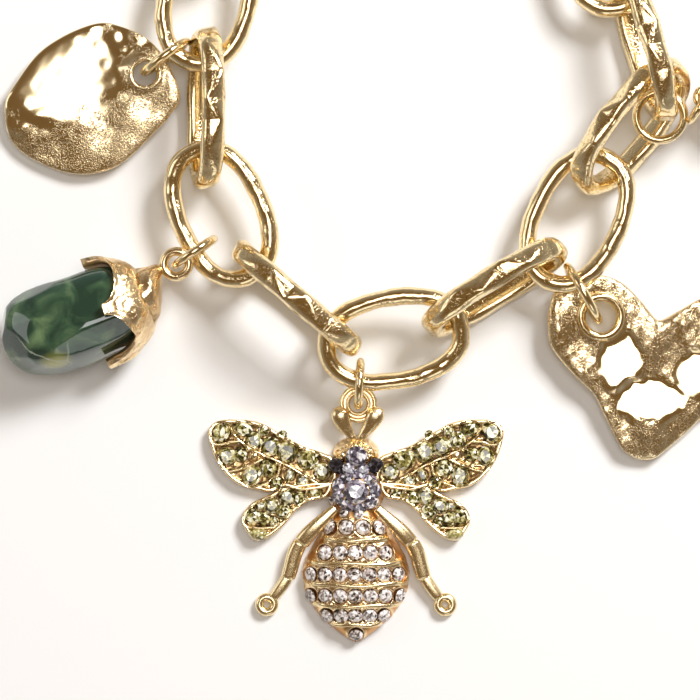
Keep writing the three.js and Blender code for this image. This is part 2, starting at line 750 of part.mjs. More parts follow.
const wingStone = 0.027;

function wingGeometries(wing, side) {
  const flip = (points) => points.map(([x, y]) => [side * x * beeSpan, y * beeSpan]);
  const outline = closedOutline(flip(wing.rim), 18).map(({ x, y }) => new THREE.Vector2(x, y));
  const inset = outline.map((corner, order) => {
    const before = outline.at(order - 1);
    const after = outline[(order + 1) % outline.length];
    const tangent = after.clone().sub(before).normalize();
    return new THREE.Vector2(corner.x - tangent.y * wingRimWidth, corner.y + tangent.x * wingRimWidth);
  });
  const plate = new THREE.ExtrudeGeometry(new THREE.Shape(outline), {
    depth: wingThickness, bevelEnabled: false,
  });
  const rimShape = new THREE.Shape(outline);
  rimShape.holes.push(new THREE.Path(inset));
  const rim = new THREE.ExtrudeGeometry(rimShape, {
    depth: wingThickness + wingRimRise, bevelEnabled: false,
  });
  const vein = taperedRod(wing.veins.map(([x, y]) => beePoint(side * x, y, wingThickness)),
    [0.3, 0.34, 0.34, 0.4].map((share) => share * wingThickness), 4, 4);
  const stones = wing.stones.map(([x, y]) => cutStone(side * x, y, wingStone, () => wingThickness));
  return [plate, rim, vein, ...stones];
}

// Legs curl at the foot and antennae thicken to a club: paths on the bee's left, [x, y, height as a share of
// the body's], with radii as shares of the leg's width.
const legWidth = 1.44;
const legPath = [
  [-0.07, 0.06, 0.45], [-0.16, -0.017, 0.39], [-0.2, -0.065, 0.32], [-0.225, -0.15, 0.26],
  [-0.262, -0.21, 0.225], [-0.285, -0.245, 0.225],
];
const legRadii = [0.38, 0.5, 0.43, 0.38, 0.35, 0.29];
const footPlace = { x: -0.302, y: -0.263 };
const antennaPath = [
  [-0.005, 0.3, 0.45], [-0.022, 0.325, 0.42], [-0.04, 0.352, 0.42], [-0.055, 0.385, 0.435],
];
const antennaRadii = [0.24, 0.35, 0.5, 0.43];

function sideGeometries(side) {
  const path = (rows) => rows.map(([x, y, z]) => beePoint(side * x, y, z * beeBodyHeight));
  const thick = (radii) => radii.map((radius) => radius * legWidth);
  const leg = taperedRod(path(legPath), thick(legRadii), 9, 6);
  const footWire = 0.55 * legWidth;
  const foot = ringGeometry(1.53 * legWidth, footWire, 8, 5)
    .translate(side * footPlace.x * beeSpan, footPlace.y * beeSpan, footWire / 2 + clearance);
  const antenna = taperedRod(path(antennaPath), thick(antennaRadii), 6, 7);
  const eye = cutStone(side * -0.064, 0.204, 0.024, () => 0.6 * beeBodyHeight);
  return [...wingGeometries(upperWing, side), ...wingGeometries(lowerWing, side), leg, foot, antenna, eye];
}

// Rows of stones in the hollows between the abdomen's ridges: [y, first x, last x, how many].
const abdomenRows = [
  [0.0, -0.09, 0.08, 4], [-0.085, -0.105, 0.1, 5], [-0.16, -0.155, 0.145, 7], [-0.23, -0.155, 0.15, 7],
  [-0.3, -0.1, 0.095, 5], [-0.368, 0, 0, 1],
];

function bodyStones() {
  const stones = [];
  for (const [y, first, last, count] of abdomenRows) {
    for (let order = 0; order < count; order++) {
      const x = count > 1 ? first + (last - first) * order / (count - 1) : first;
      stones.push(cutStone(x, y, 0.0225, abdomenHeight));
    }
  }
  const onThorax = (x, y) => domeHeight(thorax, x, y);
  const ringStones = 9;
  const ringShare = 0.68;
  stones.push(cutStone(thorax.x, thorax.y, 0.036, onThorax));
  for (let order = 0; order < ringStones; order++) {
    const around = 2 * Math.PI * order / ringStones;
    stones.push(cutStone(thorax.x + thorax.halfX * ringShare * Math.cos(around),
      thorax.y + thorax.halfY * ringShare * Math.sin(around), 0.024, onThorax));
  }
  stones.push(cutStone(head.x, head.y - 0.01, 0.038, (x, y) => domeHeight(head, x, y)));
  return stones;
}

// The bail is a flat eye with a low lip round its hole, and the clubs of the antennae carry it.
function bailGeometries() {
  const shape = new THREE.Shape().absarc(0, 0, bailWidth / 2, 0, 2 * Math.PI);
  shape.holes.push(new THREE.Path().absarc(0, 0, bailHole / 2, 0, 2 * Math.PI));
  const plate = new THREE.ExtrudeGeometry(shape, {
    depth: bailThickness, bevelEnabled: false, curveSegments: 16,
  });
  const place = beePoint(beeEye.x, beeEye.y, bailHeight);
  const lipWire = 0.5;
  const lip = ringGeometry(bailHole + 1.5 * lipWire, lipWire, 12, 5).translate(0, 0, bailThickness);
  return [plate, lip].map((geometry) => geometry.translate(place.x, place.y, place.z));
}

const neck = { x: 0, y: 0.19, halfX: 0.05, halfY: 0.05, height: 0.7 };
const domes = [thorax, head, neck].map(({ x, y, halfX, halfY, height }) => dome(x, y, halfX, halfY, height));
const bee = piece('bee_charm', joined([
  abdomenGeometry(), ...domes, ...sideGeometries(1), ...sideGeometries(-1), ...bodyStones(),
  ...bailGeometries(),
]), castGold);
const beeHole = holeOn(beeRing, bailHeight + bailThickness / 2);
bee.position.set(beeHole.x - beeEye.x * beeSpan, beeHole.y - beeEye.y * beeSpan, 0);

// Ball on the last of the laid links

const linkRing = piece('link_ring', ringGeometry(linkRingOuter, jumpWire), brightGold);
const linkMiddle = (linkRingOuter - jumpWire) / 2;
const linkPlay = linkRingOuter / 2 - jumpWire - Math.hypot(bandWidth, bandThickness) / 2;
const endWire = new THREE.Vector3(-hammered.halfLength, 0, 0).applyMatrix4(endLink.matrixWorld);
const towards = (way) => new THREE.Vector3(Math.cos(way * degrees), Math.sin(way * degrees), 0);
turn(linkRing, 45, 8);
linkRing.position.copy(endWire).addScaledVector(towards(224), 0.9 * linkPlay).setZ(0.46 * hammeredWidth);

// The ball's ring stands across the link ring's right side, and the ball's eye hangs in its low far side.
const ballMiddle = (ballRingOuter - ballRingWire) / 2;
const ballRingHeading = 58;
const ballRing = jumpRing('ball_ring', ballRingOuter, ballRingWire, ballRingHeading);
ballRing.position.copy(linkRing.position)
  .addScaledVector(towards(12), linkMiddle + ballMiddle - clearance / 2);
ballRing.position.z += 0.7 * ballMiddle;

// A rough cast ball with a lying eye on its near side.
const ballCentre = ballEyeWidth / 2 + ballDiameter / 2 - ballEyeWire / 2;

function ballGeometry() {
  const sides = 14;
  const rings = 9;
  const sections = [];
  for (let ring = 1; ring < rings; ring++) {
    const swept = Math.PI * ring / rings;
    const section = [];
    for (let side = 0; side < sides; side++) {
      const around = 2 * Math.PI * side / sides;
      const radius = ballDiameter / 2 * (ring % 2 === side % 2 ? 1 : 0.95);
      section.push(new THREE.Vector3(ballCentre - radius * Math.cos(swept),
        radius * Math.sin(swept) * Math.cos(around), radius * Math.sin(swept) * Math.sin(around)));
    }
    sections.push(section);
  }
  return joined([loft(sections), ringGeometry(ballEyeWidth, ballEyeWire)]);
}

const ball = piece('ball_charm', ballGeometry(), castGold);
const hangAngle = -32;
const hangOut = ballMiddle - clearance;
ball.position.copy(ballRing.position)
  .addScaledVector(towards(ballRingHeading), hangOut * Math.cos(hangAngle * degrees));
ball.position.z += hangOut * Math.sin(hangAngle * degrees);
turn(ball, 8, -Math.asin((ball.position.z - ballDiameter / 2) / ballCentre) / degrees);

// The origin comes to the middle of the foot of the box round the whole.
bracelet.updateMatrixWorld(true);
const box = new THREE.Box3().setFromObject(bracelet, true);
const foot = new THREE.Vector3((box.min.x + box.max.x) / 2, (box.min.y + box.max.y) / 2, box.min.z);
for (const mesh of bracelet.children) mesh.position.sub(foot);

export default bracelet;
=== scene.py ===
"""A gilt charm bracelet laid out on a pale table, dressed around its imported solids.

Plain and hammered oval links close into a loop. A beaten disc, a capped green stone, a bee set with
crystals, a beaten heart and a nugget ball hang from it on jump rings. Metres, +Z up from the table.
"""

import bmesh
import bpy
import numpy as np
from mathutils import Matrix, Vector


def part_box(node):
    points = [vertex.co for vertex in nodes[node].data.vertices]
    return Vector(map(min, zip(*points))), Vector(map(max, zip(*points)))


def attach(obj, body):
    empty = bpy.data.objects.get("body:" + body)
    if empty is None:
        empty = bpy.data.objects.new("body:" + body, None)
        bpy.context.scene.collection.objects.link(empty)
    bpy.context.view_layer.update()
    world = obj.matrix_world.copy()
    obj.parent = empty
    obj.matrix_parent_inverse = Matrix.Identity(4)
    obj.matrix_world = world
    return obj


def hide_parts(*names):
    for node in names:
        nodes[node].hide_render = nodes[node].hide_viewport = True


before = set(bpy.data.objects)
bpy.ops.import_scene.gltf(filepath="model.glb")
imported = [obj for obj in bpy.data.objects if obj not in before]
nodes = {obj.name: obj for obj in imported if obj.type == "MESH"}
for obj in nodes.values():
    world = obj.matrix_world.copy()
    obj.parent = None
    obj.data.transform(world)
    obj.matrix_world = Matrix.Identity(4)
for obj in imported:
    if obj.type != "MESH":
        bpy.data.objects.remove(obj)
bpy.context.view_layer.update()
mm = 0.001

# The table, the light and the camera
# The bracelet lies on a white sheet and is seen from straight above. One large soft light stands to its
# upper right, so shadows fall to the lower left, and a weaker one fills from the left.

upper_link = (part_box("plain_link_1")[0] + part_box("plain_link_1")[1]) / 2
seen_middle = upper_link - Vector((-14.12, 35.11, 0)) * mm
seen_middle.z = 0
seen_width = 70 * mm
camera_height = 460 * mm

sheet = bpy.data.meshes.new("table_sheet")
half_sheet = 1.5
sheet_top = -0.02 * mm
sheet.from_pydata([(across * half_sheet, along * half_sheet, sheet_top)
                   for across, along in ((-1, -1), (1, -1), (1, 1), (-1, 1))], [], [(0, 1, 2, 3)])
table = bpy.data.objects.new("table_sheet", sheet)
bpy.context.scene.collection.objects.link(table)


def new_material(name, finish):
    """A material with these constants on its Principled BSDF, its node tree and that node."""
    material = bpy.data.materials.new(name)
    material.use_nodes = True
    surface = material.node_tree.nodes["Principled BSDF"]
    for socket, value in finish.items():
        surface.inputs[socket].default_value = value
    return material, material.node_tree, surface


white_card, *_ = new_material("white_card", {"Base Color": (0.93, 0.93, 0.93, 1), "Roughness": 0.9})
sheet.materials.append(white_card)

soft_lights = {
    "window_light": {"place": (0.30, 0.36, 0.44), "size": 0.19, "power": 4.2},
    "top_light": {"place": (0.03, 0.07, 0.60), "size": 0.24, "power": 0.8},
    "left_fill": {"place": (-0.46, 0.12, 0.30), "size": 0.26, "power": 0.3},
    "front_fill": {"place": (0.10, -0.50, 0.30), "size": 0.26, "power": 0.2},
}
for name, light in soft_lights.items():
    lamp = bpy.data.lights.new(name, "AREA")
    lamp.size = light["size"]
    lamp.energy = light["power"]
    lamp_object = bpy.data.objects.new(name, lamp)
    lamp_object.location = seen_middle + Vector(light["place"])
    lamp_object.rotation_euler = Vector(light["place"]).to_track_quat("Z", "Y").to_euler()
    bpy.context.scene.collection.objects.link(lamp_object)


def add_node(tree, kind, inputs, **settings):
    """A shader node with its settings. Each input takes a constant or another node's output."""
    made = tree.nodes.new("ShaderNode" + kind)
    for setting, value in settings.items():
        setattr(made, setting, value)
    for name, value in inputs.items():
        if isinstance(value, bpy.types.NodeSocket):
            tree.links.new(value, made.inputs[name])
        else:
            made.inputs[name].default_value = value
    return made


def maths(tree, operation, *values):
    """A maths node's answer from constants or other nodes' outputs."""
    return add_node(tree, "Math", dict(enumerate(values)), operation=operation).outputs[0]


def ramp(tree, value, stops):
    """The colour that a value reads off a ramp through stops, each a place and a colour."""
    shades = add_node(tree, "ValToRGB", {"Fac": value})
    elements = shades.color_ramp.elements
    for element, (place, colour) in zip((elements[0], elements[1]), (stops[0], stops[-1])):
        element.position, element.color = place, (*colour, 1)
    for place, colour in stops[1:-1]:
        elements.new(place).color = (*colour, 1)
    return shades.outputs["Color"]


room = bpy.data.worlds.new("room")
room.use_nodes = True
walls = room.node_tree
upward = add_node(walls, "SeparateXYZ", {0: add_node(walls, "TexCoord", {}).outputs["Generated"]})
shade = ramp(walls, upward.outputs["Z"], [(0.15, (0.75, 0.72, 0.68)), (0.75, (0.40, 0.25, 0.11))])
walls.links.new(shade, walls.nodes["Background"].inputs["Color"])
walls.nodes["Background"].inputs["Strength"].default_value = 0.40
bpy.context.scene.world = room
bpy.context.scene.view_settings.view_transform = "Standard"

camera = bpy.data.cameras.new("overhead")
camera.sensor_width = 36
camera.lens = 36 * camera_height / seen_width
camera.clip_start = 0.01
overhead = bpy.data.objects.new("overhead", camera)
overhead.location = seen_middle + Vector((0, 0, camera_height))
bpy.context.scene.collection.objects.link(overhead)
bpy.context.scene.camera = overhead

# Plain links
# Ovals of round wire, gilt and polished, that were tapped flat here and there before the gilding. Each
# passes through the hammered links on both sides of it.

plain_length = 15.2 * mm
plain_width = 10.0 * mm
plain_wire = 1.7 * mm
tap_count = 44
tap_reach = 1.1 * mm
tap_bend = 0.07 / mm


def turns(count):
    """Even turns once round, from 0."""
    return np.arange(count) * 2 * np.pi / count


def compass(turn):
    """The flat unit way at each turn: (cos u, sin u)."""
    return np.stack([np.cos(turn), np.sin(turn)], -1)


def squarer(wave, power):
    """sign(w) |w|^p, which turns a round section squarer where p is below 1."""
    return np.sign(wave) * np.abs(wave) ** power


def unit(ways):
    return ways / np.linalg.norm(ways, axis=1, keepdims=True)


def walked(line):
    """How far along a line of points each of them lies."""
    return np.concatenate([[0], np.cumsum(np.linalg.norm(np.diff(line, axis=0), axis=1))])


def evenly(line, count):
    """Even points along a flat line that ends where it starts, the way round to each, and the whole way."""
    way = walked(line)
    along = np.arange(count) * way[-1] / count
    points = np.stack([np.interp(along, way, line[:, axis]) for axis in (0, 1)], -1)
    return points, along, way[-1]


def oval_line(half_length, half_width, count):
    """Even points round |x/a|^2.3 + |y/b|^2.3 = 1 in the plane z = 0, their outward normals, and the way
    round to each."""
    dense = squarer(compass(np.linspace(0, 2 * np.pi, 4001)), 2 / 2.3) * np.array([half_length, half_width])
    line, along, length = evenly(dense, count)
    ahead = unit(np.roll(line, -1, 0) - np.roll(line, 1, 0))
    return line, np.stack([ahead[:, 1], -ahead[:, 0]], -1), along, length


def grid_faces(rows, columns, closed_rows=True):
    """Quads between neighbours on a grid whose columns wrap round, and its rows too where they are closed."""
    row = np.arange(rows if closed_rows else rows - 1)[:, None]
    column = np.arange(columns)[None, :]
    below, right = (row + 1) % rows, (column + 1) % columns
    return np.stack([row * columns + column, below * columns + column, below * columns + right,
                     row * columns + right], -1).reshape(-1, 4)


def raised(flat, height):
    """Flat points at their heights."""
    return np.concatenate([flat, height[..., None]], -1)


def hoop(line, outward, across, upward):
    """A closed hoop: its point is line + outward * across, at the height upward. across and upward are grids
    of way round by way about the wire, or one row for all."""
    across, upward = np.broadcast_arrays(np.atleast_2d(across), np.atleast_2d(upward))
    across = np.broadcast_to(across, (len(line), across.shape[1]))
    upward = np.broadcast_to(upward, across.shape)
    points = raised(line[:, None] + outward[:, None] * across[..., None], upward)
    return points.reshape(-1, 3), grid_faces(*across.shape)


def node_place(node):
    """The middle of a CAD node and its own axes, longest first, from the spread of its corners."""
    corners = np.empty((len(nodes[node].data.vertices), 3), np.float32)
    nodes[node].data.vertices.foreach_get("co", corners.ravel())
    corners = corners.astype(float)
    axes = np.linalg.svd(corners - corners.mean(0), full_matrices=False)[2]
    if np.linalg.det(axes) < 0:
        axes[2] *= -1
    own = corners @ axes.T
    return (own.min(0) + own.max(0)) / 2 @ axes, axes


def placed(points, place):
    middle, axes = place
    return points @ axes + middle


def nearest_dent(points, centres):
    """The squared distances from each point to its nearest and its second nearest dent's middle."""
    gaps = np.partition(((points[:, None] - centres[None]) ** 2).sum(-1), 1, axis=1)
    return gaps[:, 0], gaps[:, 1]


def outwards(points, faces):
    """The faces of a closed shell, turned over where the sum of a . (b x c) says that they point inwards."""
    first, second, third = (points[faces[:, corner]] for corner in (0, 1, 2))
    volume = (first * np.cross(second, third)).sum()
    if faces.shape[1] == 4:
        volume += (first * np.cross(third, points[faces[:, 3]])).sum()
    return faces if volume > 0 else faces[:, ::-1]


def gathered(shells):
    """Several (points, faces) shells as one."""
    starts = np.cumsum([0] + [len(points) for points, _ in shells[:-1]])
    turned = [outwards(points, faces) + start for (points, faces), start in zip(shells, starts)]
    return np.concatenate([points for points, _ in shells]), np.concatenate(turned)


def add_piece(name, points, faces, material, slot, stands_for=(), smooth=True, marks=None, face_marks=None):
    """A closed mesh piece of the object that rides on the root. Its poles are welded, and its marks are kept
    as attributes."""
    faces = outwards(points, faces) if face_marks is None else faces
    mesh = bpy.data.meshes.new(name)
    mesh.vertices.add(len(points))
    mesh.vertices.foreach_set("co", points.astype(np.float32).ravel())
    mesh.loops.add(faces.size)
    mesh.loops.foreach_set("vertex_index", faces.astype(np.int32).ravel())
    mesh.polygons.add(len(faces))
    mesh.polygons.foreach_set("loop_start", np.arange(0, faces.size, faces.shape[1], dtype=np.int32))
    mesh.update(calc_edges=True)
    for domain, table_of_marks in (("POINT", marks), ("FACE", face_marks)):
        for mark, values in (table_of_marks or {}).items():
            attribute = mesh.attributes.new(mark, "FLOAT", domain)
            attribute.data.foreach_set("value", np.asarray(values, np.float32))
    if face_marks is None:
        shell = bmesh.new()
        shell.from_mesh(mesh)
        bmesh.ops.remove_doubles(shell, verts=shell.verts, dist=1e-7)
        shell.to_mesh(mesh)
        shell.free()
    mesh.polygons.foreach_set("use_smooth", np.full(len(mesh.polygons), smooth))
    mesh.materials.append(material)
    made = bpy.data.objects.new(name, mesh)
    bpy.context.scene.collection.objects.link(made)
    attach(made, "root")
    if stands_for:
        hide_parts(*stands_for)
    return made


def pits_group():
    """Fine casting pits on Object coordinates, denser in some parts than in others over a few millimetres:
    Pits is 1 in a pit, and Height is the surface in the pits' depths."""
    group = bpy.data.node_groups.new("gilt_pits", "ShaderNodeTree")
    for name, value in (("Size", 5000), ("Share", 0.4)):
        group.interface.new_socket(name, in_out="INPUT", socket_type="NodeSocketFloat").default_value = value
    for name in ("Pits", "Height"):
        group.interface.new_socket(name, in_out="OUTPUT", socket_type="NodeSocketFloat")
    inward, outward = group.nodes.new("NodeGroupInput"), group.nodes.new("NodeGroupOutput")
    place = add_node(group, "TexCoord", {}).outputs["Object"]
    grain = add_node(group, "TexNoise", {"Vector": place, "Scale": inward.outputs["Size"], "Detail": 2})
    cloud = add_node(group, "TexNoise", {"Vector": place, "Scale": 420, "Detail": 3})
    share = maths(group, "MULTIPLY_ADD", cloud.outputs["Fac"], -0.35, inward.outputs["Share"])
    level = maths(group, "SUBTRACT", 0.8, share)
    pits = add_node(group, "MapRange", {"Value": grain.outputs["Fac"], "From Min": level,
                                        "From Max": maths(group, "ADD", level, 0.15)}).outputs["Result"]
    group.links.new(pits, outward.inputs["Pits"])
    group.links.new(maths(group, "SUBTRACT", 1, pits), outward.inputs["Height"])
    return group


gilt_pits = pits_group()


def gilt(name, tone, deep_tone, roughness, pit_size, pit_share, pit_depth, painted_shade_mark=None,
         polish_and_highlight_mark=None):
    """Gilt metal: its tone turns to the deep tone in pits and, where a piece carries a mark of its hollows,
    to painted shade in them, and they are duller too. Where it carries a mark of its worn flats the pits are
    worn away there, both as polish and as a painted highlight where those flats face the light."""
    material, tree, metal = new_material(name, {"Metallic": 1})
    share = pit_share
    # Fewer dark pits on the worn flats: polish, and a painted highlight where the flats face the light.
    if polish_and_highlight_mark:
        mark = add_node(tree, "Attribute", {}, attribute_name=polish_and_highlight_mark).outputs["Fac"]
        share = maths(tree, "MULTIPLY_ADD", mark, -0.3, pit_share)
    pits = add_node(tree, "Group", {"Size": pit_size, "Share": share}, node_tree=gilt_pits)
    darkness = maths(tree, "MULTIPLY", pits.outputs["Pits"], 0.8)
    # Painted shade: the hollow mark turns the colour to the deep tone in hollows and between parts.
    if painted_shade_mark:
        mark = add_node(tree, "Attribute", {}, attribute_name=painted_shade_mark).outputs["Fac"]
        darkness = maths(tree, "MAXIMUM", darkness, mark)
    colour = add_node(tree, "Mix", {"A": (*tone, 1), "B": (*deep_tone, 1), "Factor": darkness},
                      data_type="RGBA")
    gloss = add_node(tree, "MapRange", {"Value": darkness, "To Min": roughness, "To Max": roughness + 0.25})
    bump = add_node(tree, "Bump", {"Height": pits.outputs["Height"], "Distance": pit_depth, "Strength": 1})
    for name, value in (("Base Color", colour.outputs["Result"]), ("Roughness", gloss.outputs["Result"]),
                        ("Normal", bump.outputs["Normal"])):
        tree.links.new(value, metal.inputs[name])
    return material


polished_gold = gilt("polished_gold", (0.98, 0.80, 0.48), (0.26, 0.14, 0.04), 0.12, 5600, 0.40, 0.008 * mm)


def plain_link(name, node):
    """Wire round the oval with the radius r + k n - 0.03 mm, where k is the tap's bend and n the squared
    distance to the nearest tap, up to its reach, so that taps are nearly flat."""
    rng = np.random.default_rng(sum(map(ord, name)))
    line, outward, along, _ = oval_line((plain_length - plain_wire) / 2, (plain_width - plain_wire) / 2, 260)
    about = turns(32)
    radius = plain_wire / 2
    smooth_points, faces = hoop(line, outward, radius * np.cos(about), radius * np.sin(about))
    taps = smooth_points[rng.choice(len(smooth_points), tap_count, replace=False)]
    near, _ = nearest_dent(smooth_points, taps)
    swell = (tap_bend * np.minimum(near, tap_reach ** 2) - 0.03 * mm).reshape(len(line), -1)
    points, faces = hoop(line, outward, (radius + swell) * np.cos(about), (radius + swell) * np.sin(about))
    return add_piece(name, placed(points, node_place(node)), faces, polished_gold, "polished_gold", [node])


for order in range(1, 9):
    plain_link(f"plain_oval_{order}", f"plain_link_{order}")

# Hammered links
# Broad bands bent to ovals. Their outer face was hammered all round in two staggered rows, which leaves a
# ridge that zigzags from edge to edge, and their inner face stays smooth.

hammered_length = 16.0 * mm
hammered_width = 8.8 * mm
band_width = 2.3 * mm
band_thickness = 1.6 * mm
hammer_marks = 14
facet_rise = 0.15 * mm
facet_slope = 0.24
ridge_swing = 0.2 * mm

hammered_gold = gilt("hammered_gold", (0.98, 0.80, 0.48), (0.24, 0.13, 0.04), 0.11, 5200, 0.43, 0.010 * mm)


def hammered_link(name, node):
    """A band whose section is |across/t|^3 + |up/w|^5 = 1. Two rows of flat facets meet on its outer face in
    a ridge -|slope up - swing|, whose swing runs straight from each hammer mark to the next."""
    rng = np.random.default_rng(sum(map(ord, name)))
    line, outward, along, length = oval_line(
        (hammered_length - band_thickness) / 2, (hammered_width - band_thickness) / 2, 256)
    about = turns(48)
    across = band_thickness / 2 * squarer(np.cos(about), 2 / 3)
    upward = band_width / 2 * squarer(np.sin(about), 2 / 3.4)
    marks = np.arange(hammer_marks)
    mark_way = (marks + rng.uniform(-0.2, 0.2, hammer_marks)) * length / hammer_marks
    mark_swing = ridge_swing * np.where(marks % 2, 1, -1) * rng.uniform(0.6, 1.15, hammer_marks)
    swing = np.interp(along, mark_way, mark_swing, period=length)
    facet = facet_rise - np.hypot(facet_slope * upward[None] - swing[:, None], 0.02 * mm)
    outside = np.clip(np.cos(about) * 2.2 - 0.1, 0, 1)
    edge = np.clip(np.abs(np.sin(about)) * 2 - 1.2, 0, 1)
    waver = 0.06 * mm * np.sin(2 * np.pi * along / length * 7 + rng.uniform(0, 6))[:, None] * np.sign(upward)
    points, faces = hoop(line, outward, across + facet * outside, upward + waver * edge)
    return add_piece(name, placed(points, node_place(node)), faces, hammered_gold, "hammered_gold", [node])


for order in range(1, 9):
    hammered_link(f"hammered_oval_{order}", f"hammered_link_{order}")

# Jump rings and the clasp
# Cut rings of thin round wire carry the charms. The clasp on the far side is a plain thick loop with a
# soldered eye, held between two more rings.

jump_wire = 0.85 * mm
ball_ring_wire = 0.7 * mm
ring_sizes = {
    "disc_ring": 6.0 * mm, "stone_ring": 5.5 * mm, "bee_ring": 5.2 * mm, "heart_ring": 7.0 * mm,
    "link_ring": 5.6 * mm, "ball_ring": 3.8 * mm, "clasp_ring_1": 6.8 * mm, "clasp_ring_2": 6.8 * mm,
}


def round_hoop(outer, wire, steps=120, sides=20):
    """A torus about Z: (R + r cos v)(cos u, sin u), r sin v."""
    about = turns(sides)
    outward = compass(turns(steps))
    return hoop(outward * (outer - wire) / 2, outward, wire / 2 * np.cos(about), wire / 2 * np.sin(about))


for node, outer in ring_sizes.items():
    points, faces = round_hoop(outer, ball_ring_wire if node == "ball_ring" else jump_wire)
    add_piece(node.replace("ring", "jump_ring"), placed(points, node_place(node)), faces, polished_gold,
              "polished_gold", [node])
nodes["clasp"].data.materials.clear()
nodes["clasp"].data.materials.append(polished_gold)

# Beaten disc
# A cast nugget beaten out to a thin, slightly domed disc. It was polished on its upper side only, so its
# lower half keeps a fine pitted skin; the fewer dark pits on the polished flat, which leans to face the
# light, are also a painted highlight. It hangs from a hole near its rim, lifted there by the jump ring.

disc_hole_place = np.array([-20.4, 27.5]) * mm + np.array(seen_middle[:2])
disc_rim = np.array([
    [-3.2, 5.0], [1.0, 2.8], [3.47, -1.85], [2.45, -4.15], [1.05, -5.7], [-2.52, -9.0], [-6.35, -10.0],
    [-10.2, -9.0], [-13.36, -6.7], [-14.0, -3.1], [-12.72, -0.6], [-10.2, 2.5], [-6.35, 4.65]]) * mm
disc_thickness = 1.3 * mm
disc_hole = 2.4 * mm
disc_flat = {"place": (-8.3 * mm, 0.4 * mm), "half": (6.6 * mm, 4.5 * mm), "turn": 0.5}
disc_hang = {"way": np.radians(206), "lift": np.radians(4.5), "hole_height": 1.75 * mm}

beaten_gold = gilt("beaten_gold", (0.98, 0.81, 0.51), (0.24, 0.13, 0.04), 0.14, 6400, 0.50, 0.012 * mm,
                   polish_and_highlight_mark="polish_and_highlight")


def catmull_rom(before, here, after, beyond, share):
    """The smooth line through here and after, at a share of the way between them."""
    return 0.5 * (2 * here + (after - before) * share
                  + (2 * before - 5 * here + 4 * after - beyond) * share ** 2
                  + (3 * here - before - 3 * after + beyond) * share ** 3)


def smooth_round(corners, count):
    """Even points along a closed Catmull-Rom line through corners, anticlockwise."""
    share = np.linspace(0, 1, 60, endpoint=False)[:, None, None]
    line = catmull_rom(*(np.roll(corners, shift, 0) for shift in (1, 0, -1, -2)), share)
    dense = line.transpose(1, 0, 2).reshape(-1, 2)
    dense = np.concatenate([dense, dense[:1]])
    if (dense[:-1, 0] * dense[1:, 1] - dense[1:, 0] * dense[:-1, 1]).sum() < 0:
        dense = dense[::-1]
    return evenly(dense, count)[0]


def open_shell(grid):
    """The points and faces of a grid that runs from one pole to the other and wraps round its columns."""
    return grid.reshape(-1, 3), grid_faces(*grid.shape[:2], closed_rows=False)


def plate(rim, middle, thickness, relief, roundness=7, rows=70):
    """Points middle + s (rim - middle) at heights relief +- t/2 (1 - s^n)^(1/n), from the middle of the
    upper face over the rim to the middle of the lower face."""
    share = 1 - (1 - np.linspace(0, 1, rows)) ** 2.2
    height = (1 - share ** roundness) ** (1 / roundness) * thickness / 2
    share = np.concatenate([share, share[-2::-1]])
    height = np.concatenate([height, -height[-2::-1]])
    flat = middle + (rim - middle)[None] * share[:, None, None]
    return open_shell(raised(flat, height[:, None] + relief(flat[..., 0], flat[..., 1])))


def waves(x, y, seed, length, count=7):
    """Soft bumps between about -1 and 1: a sum of sine waves in random ways, about length long."""
    rng = np.random.default_rng(seed)
    way = rng.uniform(0, 2 * np.pi, count)
    pace = 2 * np.pi / length * rng.uniform(0.7, 1.5, count)
    start = rng.uniform(0, 2 * np.pi, count)
    return sum(np.sin(pace[k] * (x * np.cos(way[k]) + y * np.sin(way[k])) + start[k])
               for k in range(count)) / np.sqrt(count)


def step_up(value, low, high):
    """0 below low, 1 above high, and 3 s^2 - 2 s^3 between."""
    share = np.clip((value - low) / (high - low), 0, 1)
    return share * share * (3 - 2 * share)


def leant(points, place, way, lift, hole_height):
    """A flat charm put at its hole's place, leaning down the way that it hangs."""
    lean = points[:, :2] @ np.array([np.cos(way), np.sin(way)]) * np.tan(lift)
    return points + np.column_stack([np.full((len(points), 2), place), hole_height - lean])


def bore(piece, place, diameter):
    """Cuts a round hole straight down through a piece."""
    radius = np.array([0, 1, 1, 0])[:, None, None] * diameter / 2
    height = np.array([-9, -9, 9, 9])[:, None, None] * mm
    drill = np.concatenate([place + radius * compass(turns(64)), np.broadcast_to(height, (4, 64, 1))], -1)
    cutter = add_piece(f"{piece.name}_bore", *open_shell(drill), beaten_gold, "beaten_gold")
    cut = piece.modifiers.new("bore", "BOOLEAN")
    cut.operation = "DIFFERENCE"
    cut.object = cutter
    bpy.context.view_layer.objects.active = piece
    bpy.ops.object.modifier_apply(modifier="bore")
    bpy.data.objects.remove(cutter)


def disc_flat_share(x, y, low, high):
    """How far a point is inside the disc's flat, from 0 outside to 1 within."""
    (east, north), (half_length, half_width), turn = disc_flat["place"], disc_flat["half"], disc_flat["turn"]
    ahead = (x - east) * np.cos(turn) + (y - north) * np.sin(turn)
    aside = (y - north) * np.cos(turn) - (x - east) * np.sin(turn)
    out = np.hypot(ahead / half_length, aside / half_width)
    return 1 - step_up(out + 0.06 * waves(x, y, 15, 2.6 * mm), low, high)


def disc_relief(x, y):
    """A broad hammer flat that leans against the disc's own slope, soft hammer waves beyond it, and a raised
    lip at the hole."""
    share = disc_flat_share(x, y, 0.55, 1.75)
    plane = -0.090 * (x - disc_flat["place"][0]) - 0.092 * (y - disc_flat["place"][1])
    bumps = 0.06 * mm * waves(x, y, 11, 6.5 * mm) * (1 - 0.8 * share)
    bumps = bumps + 0.006 * mm * waves(x, y, 12, 1.8 * mm)
    out = np.hypot(x, y)
    lip = 0.14 * mm * np.exp(-((out - 1.5 * mm) / (0.28 * mm)) ** 2)
    return (plane * share + bumps) * step_up(out, 1.2 * mm, 3 * mm) + lip


